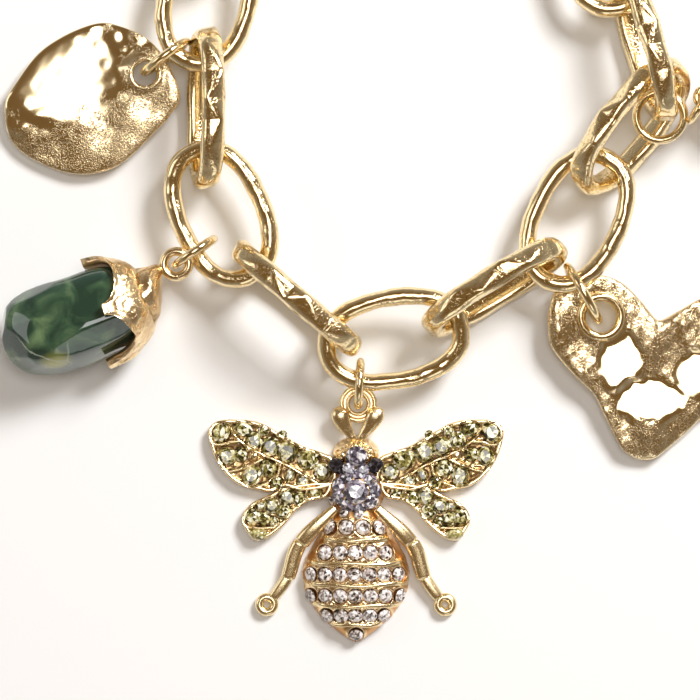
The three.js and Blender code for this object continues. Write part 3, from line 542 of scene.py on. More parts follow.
points, faces = plate(smooth_round(disc_rim, 260), disc_rim.mean(0), disc_thickness, disc_relief)
x, y, _ = points.T
patchy = 0.22 * waves(x, y, 17, 2.0 * mm) + 0.1 * waves(x, y, 18, 0.7 * mm)
# The worn flat that faces the light gets fewer dark pits, for polish and as a painted highlight.
polish_and_highlight = 1 - step_up(1 - disc_flat_share(x, y, 0.55, 1.75) + patchy, 0.35, 0.55)
disc = add_piece("beaten_disc", leant(points, disc_hole_place, **disc_hang), faces, beaten_gold,
                 "beaten_gold", ["disc_charm"], marks={"polish_and_highlight": polish_and_highlight})
bore(disc, disc_hole_place, disc_hole)

# Beaten heart
# Cast thick and beaten with a ball hammer to four broad flats between rough ridges, with a rolled rim. A
# raised eyelet round its hole takes the wear of the jump ring.

heart_hole_place = np.array([24.95, 3.3]) * mm + np.array(seen_middle[:2])
heart_rim = np.array([
    [-5.25, -1.4], [-4.8, -3.2], [-2.75, -5.7], [-0.7, -7.7], [0.3, -9.6], [1.5, -12.0], [2.4, -13.4],
    [3.85, -14.2], [5.2, -14.2], [6.2, -13.6], [7.9, -12.2], [10.4, -9.9], [13.6, -7.8], [16.2, -4.4],
    [16.8, -1.0], [15.6, 1.7], [13.2, 2.8], [10.2, 1.9], [7.6, 0.5], [5.9, -0.35], [5.0, 0.4], [4.0, 1.6],
    [2.1, 3.4], [-0.2, 4.15], [-2.8, 3.9], [-4.5, 2.7], [-5.2, 0.6]]) * mm
heart_flats = [
    {"place": (1.9, -4.5), "size": (2.2, 3.0), "lean": (-0.030, 0.100)},
    {"place": (5.0, -8.3), "size": (3.6, 2.2), "lean": (-0.050, 0.115)},
    {"place": (9.9, -5.6), "size": (2.7, 2.3), "lean": (-0.035, 0.120)},
    {"place": (12.6, -0.8), "size": (2.4, 2.0), "lean": (-0.045, 0.105)},
]
heart_thickness = 1.7 * mm
heart_middle = np.array([5.6, -5.0]) * mm
heart_hang = {"way": np.radians(-38), "lift": np.radians(4.5), "hole_height": 1.95 * mm}
eyelet = {"hole": 3.0 * mm, "outer": 5.0 * mm, "rise": 0.5 * mm}
eyelet_play = 0.8 * mm


def flat_share(x, y, flat):
    """How far a point is inside a hammer flat, from 0 outside to 1 within, with a rough edge."""
    (east, north), (length, width) = flat["place"], flat["size"]
    out = np.hypot((x / mm - east) / length, (y / mm - north) / width)
    return 1 - step_up(out + 0.05 * waves(x, y, 21, 1.9 * mm), 0.78, 1.2)


def heart_relief(x, y):
    """Ridges of soft waves, cut by leaning flats a little below them."""
    height = 0.16 * mm * waves(x, y, 24, 5.5 * mm) + 0.03 * mm * waves(x, y, 25, 1.5 * mm)
    for flat in heart_flats:
        (east, north), (lean_x, lean_y) = flat["place"], flat["lean"]
        plane = (x - east * mm) * -lean_x + (y - north * mm) * -lean_y - 0.12 * mm
        share = flat_share(x, y, flat)
        height = height * (1 - share) + plane * share
    return height * step_up(np.hypot(x, y), 1.8 * mm, 3.2 * mm)


points, faces = plate(smooth_round(heart_rim, 320), heart_middle, heart_thickness, heart_relief,
                      roundness=4.5, rows=90)
# The heart's flats, which lean to face the light, get fewer dark pits, for polish and as a painted highlight.
polish_and_highlight = np.maximum.reduce([flat_share(points[:, 0], points[:, 1], flat) for flat in heart_flats])
heart = add_piece("beaten_heart", leant(points, heart_hole_place, **heart_hang), faces, beaten_gold,
                  "beaten_gold", ["heart_charm"], marks={"polish_and_highlight": polish_and_highlight})
bore(heart, heart_hole_place, eyelet["hole"] + eyelet_play)

outward, about = compass(turns(96)), turns(28)
wall = (eyelet["outer"] - eyelet["hole"]) / 4
reach = (heart_thickness + eyelet["rise"]) / 2
points, faces = hoop(outward * (eyelet["hole"] / 2 + wall), outward, wall * squarer(np.cos(about), 0.7),
                     reach * squarer(np.sin(about), 0.6) + eyelet["rise"] / 2)
add_piece("heart_eyelet", leant(points, heart_hole_place, **heart_hang), faces, polished_gold,
          "polished_gold")

# Green stone and its cap
# A tumbled moss-green stone with a yellow flaw and fine cracks, glued into a cast cap of four lobes like a
# bud's calyx. The cap's eye sits towards its upper side.

stone_length = 15.4 * mm
stone_width = 8.8 * mm
stone_depth = 8.0 * mm
cap_fit = 0.2 * mm
cap_wall = 0.62 * mm
cap_eye = 3.4 * mm
cap_eye_wire = 0.9 * mm
eye_reach = 3.55 * mm
cap_lobes = [{"turn": 0, "reach": 0.4}, {"turn": 90, "reach": 0.28}, {"turn": 180, "reach": 0.34},
             {"turn": 270, "reach": 0.26}]
cap_valley = 0.15
eye_aside = -0.22 * stone_width
# The neck from its end to the cap, in mm: how far before the stone's end, radius, share of the way aside.
neck_rows = np.array([
    [-2.05, 0, 1.0], [-1.95, 0.42, 1.0], [-1.7, 0.8, 0.93], [-1.4, 1.2, 0.75], [-0.95, 1.85, 0.42],
    [-0.4, 2.45, 0.14]])
cap_bulge = 0.15 * mm
cap_flare = 0.18 * mm
dimple_count = 420
dimple_reach = 0.36 * mm
dimple_depth = 0.06 * mm
# Flats worn on the stone: the way that each faces and its distance from the middle, as a share of the full
# one. They are softly worn, so a little of what stood over them is left.
stone_flats = np.array([
    [0.05, -0.22, 0.97, 0.93], [-0.12, 0.56, 0.82, 0.92], [0.66, 0.02, 0.75, 0.93],
    [0.12, -0.90, 0.42, 0.93], [0.62, 0.62, 0.48, 0.95], [0.85, -0.45, 0.25, 0.95]])
worn_away = 0.94


def facing(place, ahead):
    """A place whose first axis is turned to point ahead and whose third points up."""
    middle, axes = place
    first = axes[0] * np.sign(axes[0] @ ahead)
    third = axes[2] * np.sign(axes[2][2])
    return middle, np.array([first, np.cross(third, first), third])


def stone_radius(share):
    """Half the stone's width at a share of its length from the cap: (1 - |1 - 2s|^3.2)^(1/2.4), a little
    fuller towards the far end."""
    return stone_width / 2 * (1 - np.abs(1 - 2 * share) ** 3.2) ** (1 / 2.4) * (0.93 + 0.07 * share)


def about_stone(share, radius, turn):
    """Points at a share of the length and a turn about the axis, 0 towards the second axis and 90 degrees
    on top, a little squarer than round."""
    square = (np.abs(np.cos(turn - 0.35)) ** 3.4 + np.abs(np.sin(turn - 0.35)) ** 3.4) ** (-1 / 3.4) * 0.97
    radius = radius * square
    return np.stack(np.broadcast_arrays((share - 0.5) * stone_length, radius * np.cos(turn),
                                        radius * np.sin(turn) * stone_depth / stone_width), -1)


stone_place = facing(node_place("green_stone"), np.array([-1, 0, 0]))
share = (1 - np.cos(np.linspace(0, np.pi, 120))) / 2
pebble = about_stone(share[:, None], stone_radius(share)[:, None], -turns(128)[None])
swell = 1 + 0.022 * waves(pebble[..., 0], pebble[..., 1] + pebble[..., 2], 31, 8 * mm)
pebble = pebble * np.stack([np.ones_like(swell), swell, swell], -1)
for worn in stone_flats:
    worn_way, depth = worn[:3] / np.linalg.norm(worn[:3]), worn[3]
    height = pebble @ worn_way
    pebble = pebble - np.maximum(height - depth * height.max(), 0)[..., None] * worn_way * worn_away

green_stone, stuff, gem = new_material("green_stone", {
    "Roughness": 0.04, "IOR": 1.62, "Coat Weight": 0.6, "Coat Roughness": 0.03})
where = add_node(stuff, "TexCoord", {}).outputs["Object"]
moss = add_node(stuff, "TexNoise", {"Vector": where, "Scale": 330, "Detail": 5, "Distortion": 0.8})
mossy = ramp(stuff, moss.outputs["Fac"], [
    (0.42, (0.016, 0.044, 0.028)), (0.56, (0.042, 0.092, 0.050)), (0.74, (0.15, 0.23, 0.11))])


def near_place(tree, vector, place, radius, softness):
    """1 near a place in the row frame and 0 beyond, by distance on Object coordinates."""
    gap = add_node(tree, "VectorMath", {0: vector, 1: place}, operation="DISTANCE")
    fade = add_node(tree, "MapRange", {"Value": gap.outputs["Value"], "From Min": radius,
                                       "From Max": radius + softness, "To Min": 1, "To Max": 0})
    return fade.outputs["Result"]


flaw = near_place(stuff, where, seen_middle + Vector((-28.9, -1.6, 7.0)) * mm, 0.7 * mm, 1.3 * mm)
flawed = add_node(stuff, "Mix", {"Factor": flaw, "A": mossy, "B": (0.30, 0.31, 0.02, 1)}, data_type="RGBA")
bent = add_node(stuff, "VectorMath", {0: moss.outputs["Color"], 1: (0.0012, 0.0012, 0.0012), 2: where},
                operation="MULTIPLY_ADD")
crack = add_node(stuff, "TexVoronoi", {"Vector": bent.outputs["Vector"], "Scale": 175, "Randomness": 1},
                 feature="DISTANCE_TO_EDGE")
line = add_node(stuff, "MapRange", {"Value": crack.outputs["Distance"], "From Max": 0.02, "To Min": 0.75,
                                    "To Max": 0})
near_crack = near_place(stuff, where, seen_middle + Vector((-30.4, -0.9, 7.0)) * mm, 2.0 * mm, 1.6 * mm)
cracks = maths(stuff, "MULTIPLY", line.outputs["Result"], near_crack)
cracked = add_node(stuff, "Mix", {"Factor": cracks, "A": flawed.outputs["Result"],
                                  "B": (0.55, 0.60, 0.50, 1)}, data_type="RGBA")
stuff.links.new(cracked.outputs["Result"], gem.inputs["Base Color"])
points, faces = open_shell(pebble)
add_piece("moss_stone", placed(points, stone_place), faces, green_stone, "green_stone", ["green_stone"])

cast_gold = gilt("cast_gold", (0.98, 0.78, 0.47), (0.56, 0.25, 0.06), 0.17, 3000, 0.36, 0.022 * mm,
                 painted_shade_mark="painted_shade")


def lobe_reach(turn):
    """How far the cap reaches along the stone: round scallops, 1 - sqrt(1 - (1 - d)^2), rise to a blunt tip
    at each lobe."""
    reach = np.full(turn.shape, cap_valley)
    for lobe in cap_lobes:
        apart = np.abs((turn - np.radians(lobe["turn"]) + np.pi) % (2 * np.pi) - np.pi) / np.radians(45)
        away = np.clip((apart - 0.13) / 0.87, 0, 1)
        rise = 1 - np.sqrt(1 - (1 - away) ** 2)
        reach = np.maximum(reach, cap_valley + (lobe["reach"] - cap_valley) * rise)
    return reach


turn = -turns(192)
reach = lobe_reach(turn)
rings = np.linspace(0.08, 1, 44)
outer_share = rings[:, None] * reach[None]
bulge = cap_bulge * np.exp(-((1 - rings) * 8) ** 2)[:, None]
flare = cap_flare * rings[:, None] ** 4 * (reach / 0.4)[None]
skin = stone_radius(outer_share) + cap_fit + cap_wall + flare + bulge
outer = about_stone(outer_share, skin, turn[None])
dimples = outer.reshape(-1, 3)[np.random.default_rng(5).choice(outer.size // 3, dimple_count, replace=False)]
near, _ = nearest_dent(outer.reshape(-1, 3), dimples)
pitted = np.minimum(near.reshape(outer.shape[:2]) / dimple_reach ** 2, 1)
outer = about_stone(outer_share, skin + dimple_depth * pitted, turn[None])
inner_share = outer_share[::-1]
inner = about_stone(inner_share, stone_radius(inner_share) + cap_fit + flare[::-1], turn[None])
before, radius, sideways = neck_rows.T[..., None] * np.ones_like(turn)
neck = np.stack([before * mm - stone_length / 2, radius * mm * np.cos(turn) + eye_aside * sideways,
                 radius * mm * np.sin(turn)], -1)
inside = np.broadcast_to(np.array([-0.3 * mm - stone_length / 2, 0, 0]), (1, len(turn), 3))
points, faces = open_shell(np.concatenate([neck, outer, inner, inside]))
# Painted shade: a little on the neck, more down in the dimples, and deep inside the cap under the stone.
painted_shade = np.concatenate([np.full(neck.shape[:2], 0.25), (1 - pitted) * 0.35,
                         np.full((len(inner) + 1, len(turn)), 0.8)])
add_piece("bud_cap", placed(points, stone_place), faces, cast_gold, "cast_gold", ["stone_cap"],
          marks={"painted_shade": painted_shade.ravel()})
points, faces = round_hoop(cap_eye, cap_eye_wire, 80, 24)
points = points + np.array([-stone_length / 2 - eye_reach, eye_aside, 0])
add_piece("bud_eye", placed(points, stone_place), faces, cast_gold, "cast_gold")

# Bee's wings
# Cast flat with a raised rim and veins that fence off cells, and gilt. The cells hold cut glass stones of
# pale yellow green, foiled behind and glued in, and a drop at the tip of each lower wing.

bee_span = 29.5 * mm
bee_low, bee_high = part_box("bee_charm")
bee_place = np.array([(bee_low.x + bee_high.x) / 2, bee_low.y + 0.39 * bee_span])
wing_floor = 0.84 * mm
wing_wall = 0.5 * mm
rim_half = 0.25 * mm
vein_half = 0.19 * mm
upper_wing = {
    "middle": (-0.29, 0.235),
    "rim": [
        [-0.075, 0.226], [-0.12, 0.253], [-0.175, 0.271], [-0.235, 0.303], [-0.327, 0.353], [-0.408, 0.363],
        [-0.468, 0.358], [-0.498, 0.328], [-0.491, 0.273], [-0.468, 0.218], [-0.43, 0.168], [-0.388, 0.14],
        [-0.335, 0.127], [-0.29, 0.118], [-0.24, 0.137], [-0.18, 0.122], [-0.075, 0.145]],
    "veins": [
        [[-0.09, 0.15], [-0.118, 0.139], [-0.194, 0.185], [-0.238, 0.212], [-0.296, 0.236], [-0.355, 0.263],
         [-0.396, 0.293], [-0.425, 0.335], [-0.427, 0.36]],
        [[-0.392, 0.29], [-0.428, 0.288], [-0.455, 0.279], [-0.49, 0.281]],
        [[-0.318, 0.228], [-0.359, 0.207], [-0.399, 0.194], [-0.435, 0.186], [-0.46, 0.2]],
        [[-0.255, 0.213], [-0.262, 0.18], [-0.3, 0.148], [-0.345, 0.133]]],
    "pads": [[-0.341, 0.243, 0.5], [-0.27, 0.214, 0.26], [-0.365, 0.263, 0.3]],
    "stones": [
        [-0.460, 0.320, 0.92, 1.1, 60], [-0.383, 0.330, 0.80, 1.3, -20], [-0.344, 0.292, 0.78, 1.15, -60],
        [-0.313, 0.325, 0.52, 1.0, 0], [-0.289, 0.273, 0.88, 1.0, 10], [-0.232, 0.255, 0.98, 1.0, 30],
        [-0.164, 0.227, 1.02, 1.05, 0], [-0.115, 0.188, 0.78, 1.0, 20], [-0.437, 0.240, 0.86, 1.2, -60],
        [-0.391, 0.244, 0.66, 1.1, 40], [-0.352, 0.173, 0.92, 1.25, -15], [-0.298, 0.196, 0.80, 1.1, 30],
        [-0.179, 0.155, 0.58, 1.0, 0], [-0.224, 0.176, 0.52, 1.7, -20], [-0.268, 0.148, 0.60, 1.2, 15],
        [-0.248, 0.312, 0.42, 1.0, 0]],
}
lower_wing = {
    "middle": (-0.25, 0.08),
    "rim": [
        [-0.09, 0.15], [-0.1, 0.102], [-0.16, 0.087], [-0.208, 0.051], [-0.245, 0.005], [-0.3, -0.037],
        [-0.343, -0.044], [-0.373, -0.01], [-0.386, 0.03], [-0.36, 0.075], [-0.3, 0.105], [-0.22, 0.14]],
    "veins": [[[-0.375, 0.003], [-0.33, -0.004], [-0.285, -0.002], [-0.255, 0.012]],
              [[-0.165, 0.135], [-0.168, 0.09]]],
    "pads": [[-0.3, -0.02, 0.22]],
    "stones": [
        [-0.234, 0.104, 0.74, 1.0, 0], [-0.192, 0.096, 0.66, 1.0, 15], [-0.138, 0.116, 0.60, 1.0, 40],
        [-0.285, 0.072, 0.72, 1.0, 10], [-0.352, 0.034, 0.80, 1.05, 0], [-0.315, 0.028, 0.66, 1.0, 30],
        [-0.245, 0.052, 0.68, 1.0, 20], [-0.278, 0.018, 0.46, 1.0, 0], [-0.322, 0.072, 0.42, 1.0, 0]],
}


def line_gap(x, y, line):
    """The distance from each point to an open line of straight runs."""
    gap = np.full(x.shape, np.inf)
    for start, end in zip(line[:-1], line[1:]):
        run = end - start
        share = np.clip(((x - start[0]) * run[0] + (y - start[1]) * run[1]) / (run @ run), 0, 1)
        gap = np.minimum(gap, np.hypot(x - start[0] - share * run[0], y - start[1] - share * run[1]))
    return gap


def slab(rim, middle, height, rows=72):
    """Points middle + s (rim - middle) at heights given by a function of x and y, down the wall to the foot
    at z = 0 and back to the middle."""
    share = 1 - (1 - np.linspace(0, 1, rows)) ** 1.5
    flat = middle + (rim - middle)[None] * share[:, None, None]
    top = raised(flat, height(flat[..., 0], flat[..., 1]))
    wall = top[-1] * np.array([1, 1, 0.5])
    foot = top[-1] * np.array([1, 1, 0])
    end = np.broadcast_to(np.append(middle, 0), foot.shape)
    return np.concatenate([top, wall[None], foot[None], end[None]])


def side_flip(rows, side):
    """The first column mirrored for the bee's other side."""
    return np.array(rows) * np.array([side] + [1] * (len(rows[0]) - 1))


def wing_shell(wing, side):
    """Half-round walls along the rim and the veins, raised pads, and a seat sunk round each stone. Its marks
    are painted shade: darkest in the seats and on the low floor, light up on the walls, and a little on the
    outer wall and underside."""
    rim = smooth_round(side_flip(wing["rim"], side) * bee_span, 260)
    ahead = unit(np.roll(rim, -1, 0) - np.roll(rim, 1, 0))
    crest = (rim + np.stack([-ahead[:, 1], ahead[:, 0]], -1) * rim_half * 0.8)[::5]
    crest = np.concatenate([crest, crest[:1]])

    def out_from(x, y, across, along, size):
        return np.hypot(x - side * across * bee_span, y - along * bee_span) / (size * mm)

    def height(x, y):
        walls = np.exp(-(line_gap(x, y, crest) / rim_half) ** 4)
        for vein in wing["veins"]:
            gap = line_gap(x, y, side_flip(vein, side) * bee_span)
            walls = np.maximum(walls, np.exp(-(gap / vein_half) ** 4))
        for pad in wing["pads"]:
            walls = np.maximum(walls, 0.85 * np.exp(-out_from(x, y, *pad) ** 4))
        seat = np.zeros_like(x)
        for stone in wing["stones"]:
            seat = np.maximum(seat, 1 - step_up(out_from(x, y, *stone[:3]), 1.06, 1.34))
        grain = 0.05 * waves(x, y, 41, 0.8 * mm) + 0.28 * step_up(waves(x, y, 42, 1.1 * mm), 0.2, 0.9)
        return wing_floor + wing_wall * np.maximum(walls * (1 - 0.35 * seat), (grain + 0.16) * (1 - seat))

    grid = slab(rim, np.array(wing["middle"]) * np.array([side, 1]) * bee_span, height)
    # Painted shade on the low floor and in the seats, and a little on the outer wall, foot and underside.
    painted_shade = 1 - step_up(grid[..., 2], wing_floor - 0.05 * mm, wing_floor + 0.42 * mm)
    painted_shade[-3:] = 0.3
    return open_shell(grid), painted_shade.ravel() * 0.85


def on_bee(points, place=(0, 0), height=0):
    return points + np.array([bee_place[0] + place[0], bee_place[1] + place[1], height])


cut_gold = gilt("cut_gold", (0.98, 0.79, 0.47), (0.30, 0.14, 0.03), 0.15, 3800, 0.3, 0.012 * mm,
                painted_shade_mark="painted_shade")
wing_parts = [wing_shell(wing, side) for wing in (upper_wing, lower_wing) for side in (1, -1)]
wing_points, wing_faces = gathered([shell for shell, _ in wing_parts])
add_piece("bee_wings", on_bee(wing_points), wing_faces, cut_gold, "cast_gold",
          marks={"painted_shade": np.concatenate([painted_shade for _, painted_shade in wing_parts])})

# Bee's body
# One casting with the wings. Wavy ridges cross the abdomen, and in the rows between them each stone has a
# hole of its own. Stones crowd over the thorax, and the head is grained like bread crust.

body_height = 3.1 * mm
abdomen_half = np.array([
    [0.06, 0.066], [0.034, 0.085], [-0.05, 0.140], [-0.1, 0.168], [-0.15, 0.182], [-0.21, 0.176],
    [-0.254, 0.158], [-0.305, 0.120], [-0.346, 0.073], [-0.375, 0.034], [-0.39, 0.002]])
abdomen_crown = np.array([
    [0.06, 0.72], [0.0, 0.86], [-0.1, 0.98], [-0.2, 0.95], [-0.3, 0.74], [-0.36, 0.5], [-0.39, 0.2]])
abdomen_ridges = [
    {"along": -0.044, "half": 0.115}, {"along": -0.124, "half": 0.162}, {"along": -0.196, "half": 0.175},
    {"along": -0.267, "half": 0.150}, {"along": -0.331, "half": 0.086}]
# Rows of stones across the abdomen: the place along it, the first and the last place across, and the count.
abdomen_rows = [(0.0, -0.090, 0.080, 4), (-0.085, -0.105, 0.100, 5), (-0.160, -0.155, 0.145, 7),
                (-0.232, -0.155, 0.150, 7), (-0.300, -0.100, 0.095, 5), (-0.366, 0, 0, 1)]
body_stone = 0.68 * mm
ridge_half = 0.24 * mm
ridge_rise = 0.2 * mm
ledge_rise = 0.13 * mm
seat_depth = 0.3 * mm
# Each dome's last entry is a level of painted shade on its gold between and under its stones.
domes = {
    "thorax": {"place": (0, 0.122), "half": (0.098, 0.088), "height": 1.0, "painted_base_shade": 0.7},
    "head": {"place": (0, 0.25), "half": (0.079, 0.058), "height": 0.86, "painted_base_shade": 0.0},
    "neck": {"place": (0, 0.19), "half": (0.055, 0.05), "height": 0.72, "painted_base_shade": 0.7},
}


def along_body(table_rows, y):
    """A table of a body size by the place along the body, read between its rows."""
    ordered = table_rows[::-1]
    return np.interp(y / bee_span, ordered[:, 0], ordered[:, 1])


def abdomen_height(x, y):
    """crown (1 - |x / half|^2.4)^(1/2) across the abdomen."""
    out = np.clip(np.abs(x) / (along_body(abdomen_half, y) * bee_span), 0, 1)
    return along_body(abdomen_crown, y) * body_height * np.sqrt(1 - out ** 2.4)


def dome_height(dome, x, y):
    """height (1 - r^2)^(1/2), where r is 1 all round the dome's foot."""
    out = np.hypot((x / bee_span - dome["place"][0]) / dome["half"][0],
                   (y / bee_span - dome["place"][1]) / dome["half"][1])
    return dome["height"] * body_height * np.sqrt(np.clip(1 - out ** 2, 0, 1))


body_seats = np.array([[across, along] for along, first, last, count in abdomen_rows
                       for across in np.linspace(first, last, count)]) * bee_span

along = np.concatenate([[0.06], np.linspace(0.0599, -0.3899, 240), [-0.39]])[:, None] * bee_span
swing = np.linspace(-np.pi / 2, np.pi / 2, 124)[None]
across = along_body(abdomen_half, along) * bee_span * np.sin(swing)
along = np.broadcast_to(along, across.shape)
crest = np.zeros_like(across)
for ridge in abdomen_ridges:
    wander = 0.008 * (across / (ridge["half"] * bee_span)) ** 2 + 0.004 * waves(across, along, 51, 3.4 * mm)
    out = (along / bee_span - ridge["along"] - wander) * bee_span / ridge_half
    ends = 1 - step_up(np.abs(across) / bee_span, ridge["half"] * 0.92, ridge["half"] * 1.06)
    crest = np.maximum(crest, np.exp(-np.abs(out) ** 3) * ends)
gaps, _ = nearest_dent(np.stack([across, along], -1).reshape(-1, 2), body_seats)
gaps = np.sqrt(gaps).reshape(across.shape)
seat = 1 - step_up(gaps, body_stone * 0.95, body_stone * 1.22)
ledge = step_up(gaps, body_stone * 1.08, body_stone * 1.3)
ledge = ledge * (1 - step_up(gaps, body_stone * 1.3, body_stone * 1.8))
grain = 0.02 * mm * waves(across, along, 52, 1 * mm)
rise = ridge_rise * crest + ledge_rise * ledge + (grain - seat_depth * seat) * (1 - crest)
skin = abdomen_height(across, along)
upper = np.stack([across, along, np.maximum(skin + rise * np.clip(skin / (0.8 * mm), 0, 1), 0)], -1)
lower = upper[:, ::-1][:, 1:-1] * np.array([1, 1, 0])
# Painted shade: dark in the seats and on the low ground between the ridges, light on the ridges and ledges,
# and half dark on the underside.
painted_shade = np.clip(np.maximum(seat * (1 - crest), 0.85 - 1.6 * crest - 0.6 * ledge), 0, 1)
painted_shade = np.concatenate([painted_shade, np.full(lower.shape[:2], 0.5)], 1)
body_shells = [open_shell(np.concatenate([upper, lower], 1))]
body_painted_shade = [painted_shade.ravel() * 0.9]
for dome in domes.values():
    out = np.concatenate([[0], np.linspace(0.01, 1, 60), [0]])[:, None, None]
    flat = (out * compass(turns(120)) * dome["half"] + dome["place"]) * bee_span
    x, y = flat[..., 0], flat[..., 1]
    skin = dome["height"] * body_height * np.sqrt(1 - out[..., 0] ** 2) * np.ones_like(x)
    crumbs = waves(x, y, 53, 0.62 * mm) + 0.6 * waves(x, y, 54, 0.35 * mm)
    skin = skin + 0.07 * mm * crumbs * np.clip(skin / (0.8 * mm), 0, 1)
    skin[-1] = 0
    body_shells.append(open_shell(raised(flat, np.maximum(skin, 0))))
    # Painted shade: the dome's level, darker in the crumbs' hollows.
    body_painted_shade.append(dome["painted_base_shade"] - np.clip(crumbs.ravel(), -1, 1) * 0.25)
body_points, body_faces = gathered(body_shells)
add_piece("bee_body", on_bee(body_points), body_faces, cast_gold, "cast_gold", ["bee_charm"],
          marks={"painted_shade": np.clip(np.concatenate(body_painted_shade), 0, 1)})

# Bee's legs, antennae and eyelet
# Round in the hand and polished. Each leg is a strap, a sleeve and a shin, and ends in a curled foot. The
# antennae thicken to clubs that carry the eyelet, a wire ring about a raised tube.

leg_parts = [
    [[-0.066, 0.068, 0.56, 0.44], [-0.12, 0.018, 0.53, 0.66], [-0.158, -0.020, 0.48, 0.78],
     [-0.190, -0.060, 0.41, 0.80]],
    [[-0.186, -0.046, 0.37, 0.74], [-0.207, -0.090, 0.32, 0.78], [-0.221, -0.140, 0.29, 0.76],
     [-0.233, -0.180, 0.27, 0.72]],
    [[-0.230, -0.166, 0.26, 0.58], [-0.250, -0.198, 0.245, 0.62], [-0.270, -0.226, 0.24, 0.58],
     [-0.284, -0.244, 0.24, 0.50]],
]
foot_curl = {"place": (-0.302, -0.263), "outer": 2.35 * mm, "wire": 0.86 * mm, "height": 0.56 * mm}
antenna_rows = [[0.294, 0.53, 0.34], [0.314, 0.53, 0.44], [0.340, 0.55, 0.68], [0.368, 0.57, 0.90],
                [0.392, 0.57, 0.90], [0.408, 0.57, 0.84]]
antenna_ways = [[-0.006, -0.019, -0.036, -0.049, -0.057, -0.060], [0.012, 0.026, 0.045, 0.060, 0.069, 0.072]]
eyelet_place = np.array([0.007, 0.417]) * bee_span
eyelet_height = 1.86 * mm
# The eyelet's wire ring, its plate and its tube, in mm: outer size, wide, tall and how far above its height.
eyelet_rings = [(3.8, 0.5, 0.5, -0.24), (3.3, 0.6, 0.2, -0.3), (2.5, 0.42, 1.1, 0.05)]


def smooth_way(rows, count):
    """Even points along an open Catmull-Rom line through rows."""
    rows = np.vstack([2 * rows[0] - rows[1], rows, 2 * rows[-1] - rows[-2]])
    spot = np.linspace(0, len(rows) - 3 - 1e-9, count)
    run = spot.astype(int)
    return catmull_rom(*(rows[run + shift] for shift in range(4)), (spot - run)[:, None])


def rod(rows, flatness=1.0, square=0.8, round_end=0.6, count=70, columns=36):
    """A rod along rows of x, y, height and half width, with round ends and a section
    (w cos^q, f w sin^q) that is round for q = 1 and squarer below."""
    rows = np.array(rows) * np.array([bee_span, bee_span, body_height, mm])
    way = smooth_way(rows, count)
    ahead = unit(np.gradient(way[:, :2], axis=0))
    aside = np.stack([-ahead[:, 1], ahead[:, 0]], -1)
    along = walked(way[:, :2])
    from_end = np.minimum(along, along[-1] - along)
    ease = np.sqrt(1 - (1 - np.clip(from_end / (round_end * way[:, 3]), 0, 1)) ** 2)
    half = way[:, 3:] * ease[:, None]
    flat = way[:, None, :2] + aside[:, None] * (half * squarer(np.cos(turns(columns)), square))[..., None]
    tall = way[:, 2:3] + half * flatness * squarer(np.sin(turns(columns)), square)
    return open_shell(raised(flat, tall))


def flat_ring(outer, wide, tall, place, height):
    """A ring in the table's plane with a section wide by tall."""
    outward, about = compass(turns(96)), turns(24)
    points, faces = hoop(outward * (outer - wide) / 2, outward, wide / 2 * np.cos(about),
                         tall / 2 * np.sin(about))
    return points + np.array([place[0], place[1], height]), faces


limbs = []
for order, ridge in enumerate(abdomen_ridges):
    share = np.linspace(-1, 1, 11)
    across = share * ridge["half"]
    along = ridge["along"] + 0.008 * share ** 2 + 0.003 * np.sin(5 * share + 2.1 * order)
    tall = (abdomen_height(across * bee_span, along * bee_span) + 0.16 * mm) / body_height
    limbs.append(rod(np.column_stack([across, along, tall, np.full(11, 0.2)]), round_end=1.5, count=60,
                     columns=16))
for side in (1, -1):
    limbs += [rod(side_flip(part, side), flatness=0.9, square=0.7) for part in leg_parts]
    limbs.append(flat_ring(foot_curl["outer"], foot_curl["wire"], foot_curl["wire"],
                           side_flip([foot_curl["place"]], side)[0] * bee_span, foot_curl["height"]))
limbs += [rod(np.column_stack([across, antenna_rows]), flatness=0.62, square=0.9, round_end=1.0)
          for across in antenna_ways]
limbs += [flat_ring(outer * mm, wide * mm, tall * mm, eyelet_place, eyelet_height + above * mm)
          for outer, wide, tall, above in eyelet_rings]
limb_points, limb_faces = gathered(limbs)
satin_gold = gilt("satin_gold", (0.98, 0.80, 0.48), (0.32, 0.16, 0.04), 0.24, 4200, 0.34, 0.008 * mm)
add_piece("bee_limbs", on_bee(limb_points), limb_faces, satin_gold, "cast_gold")

# Bee's stones
# Cut glass with a table, stars, kites and halves, foiled behind: yellow green in the wings, lavender on the
# thorax and head, clear on the abdomen, jet for the eyes. All are pressed and glued into their seats.


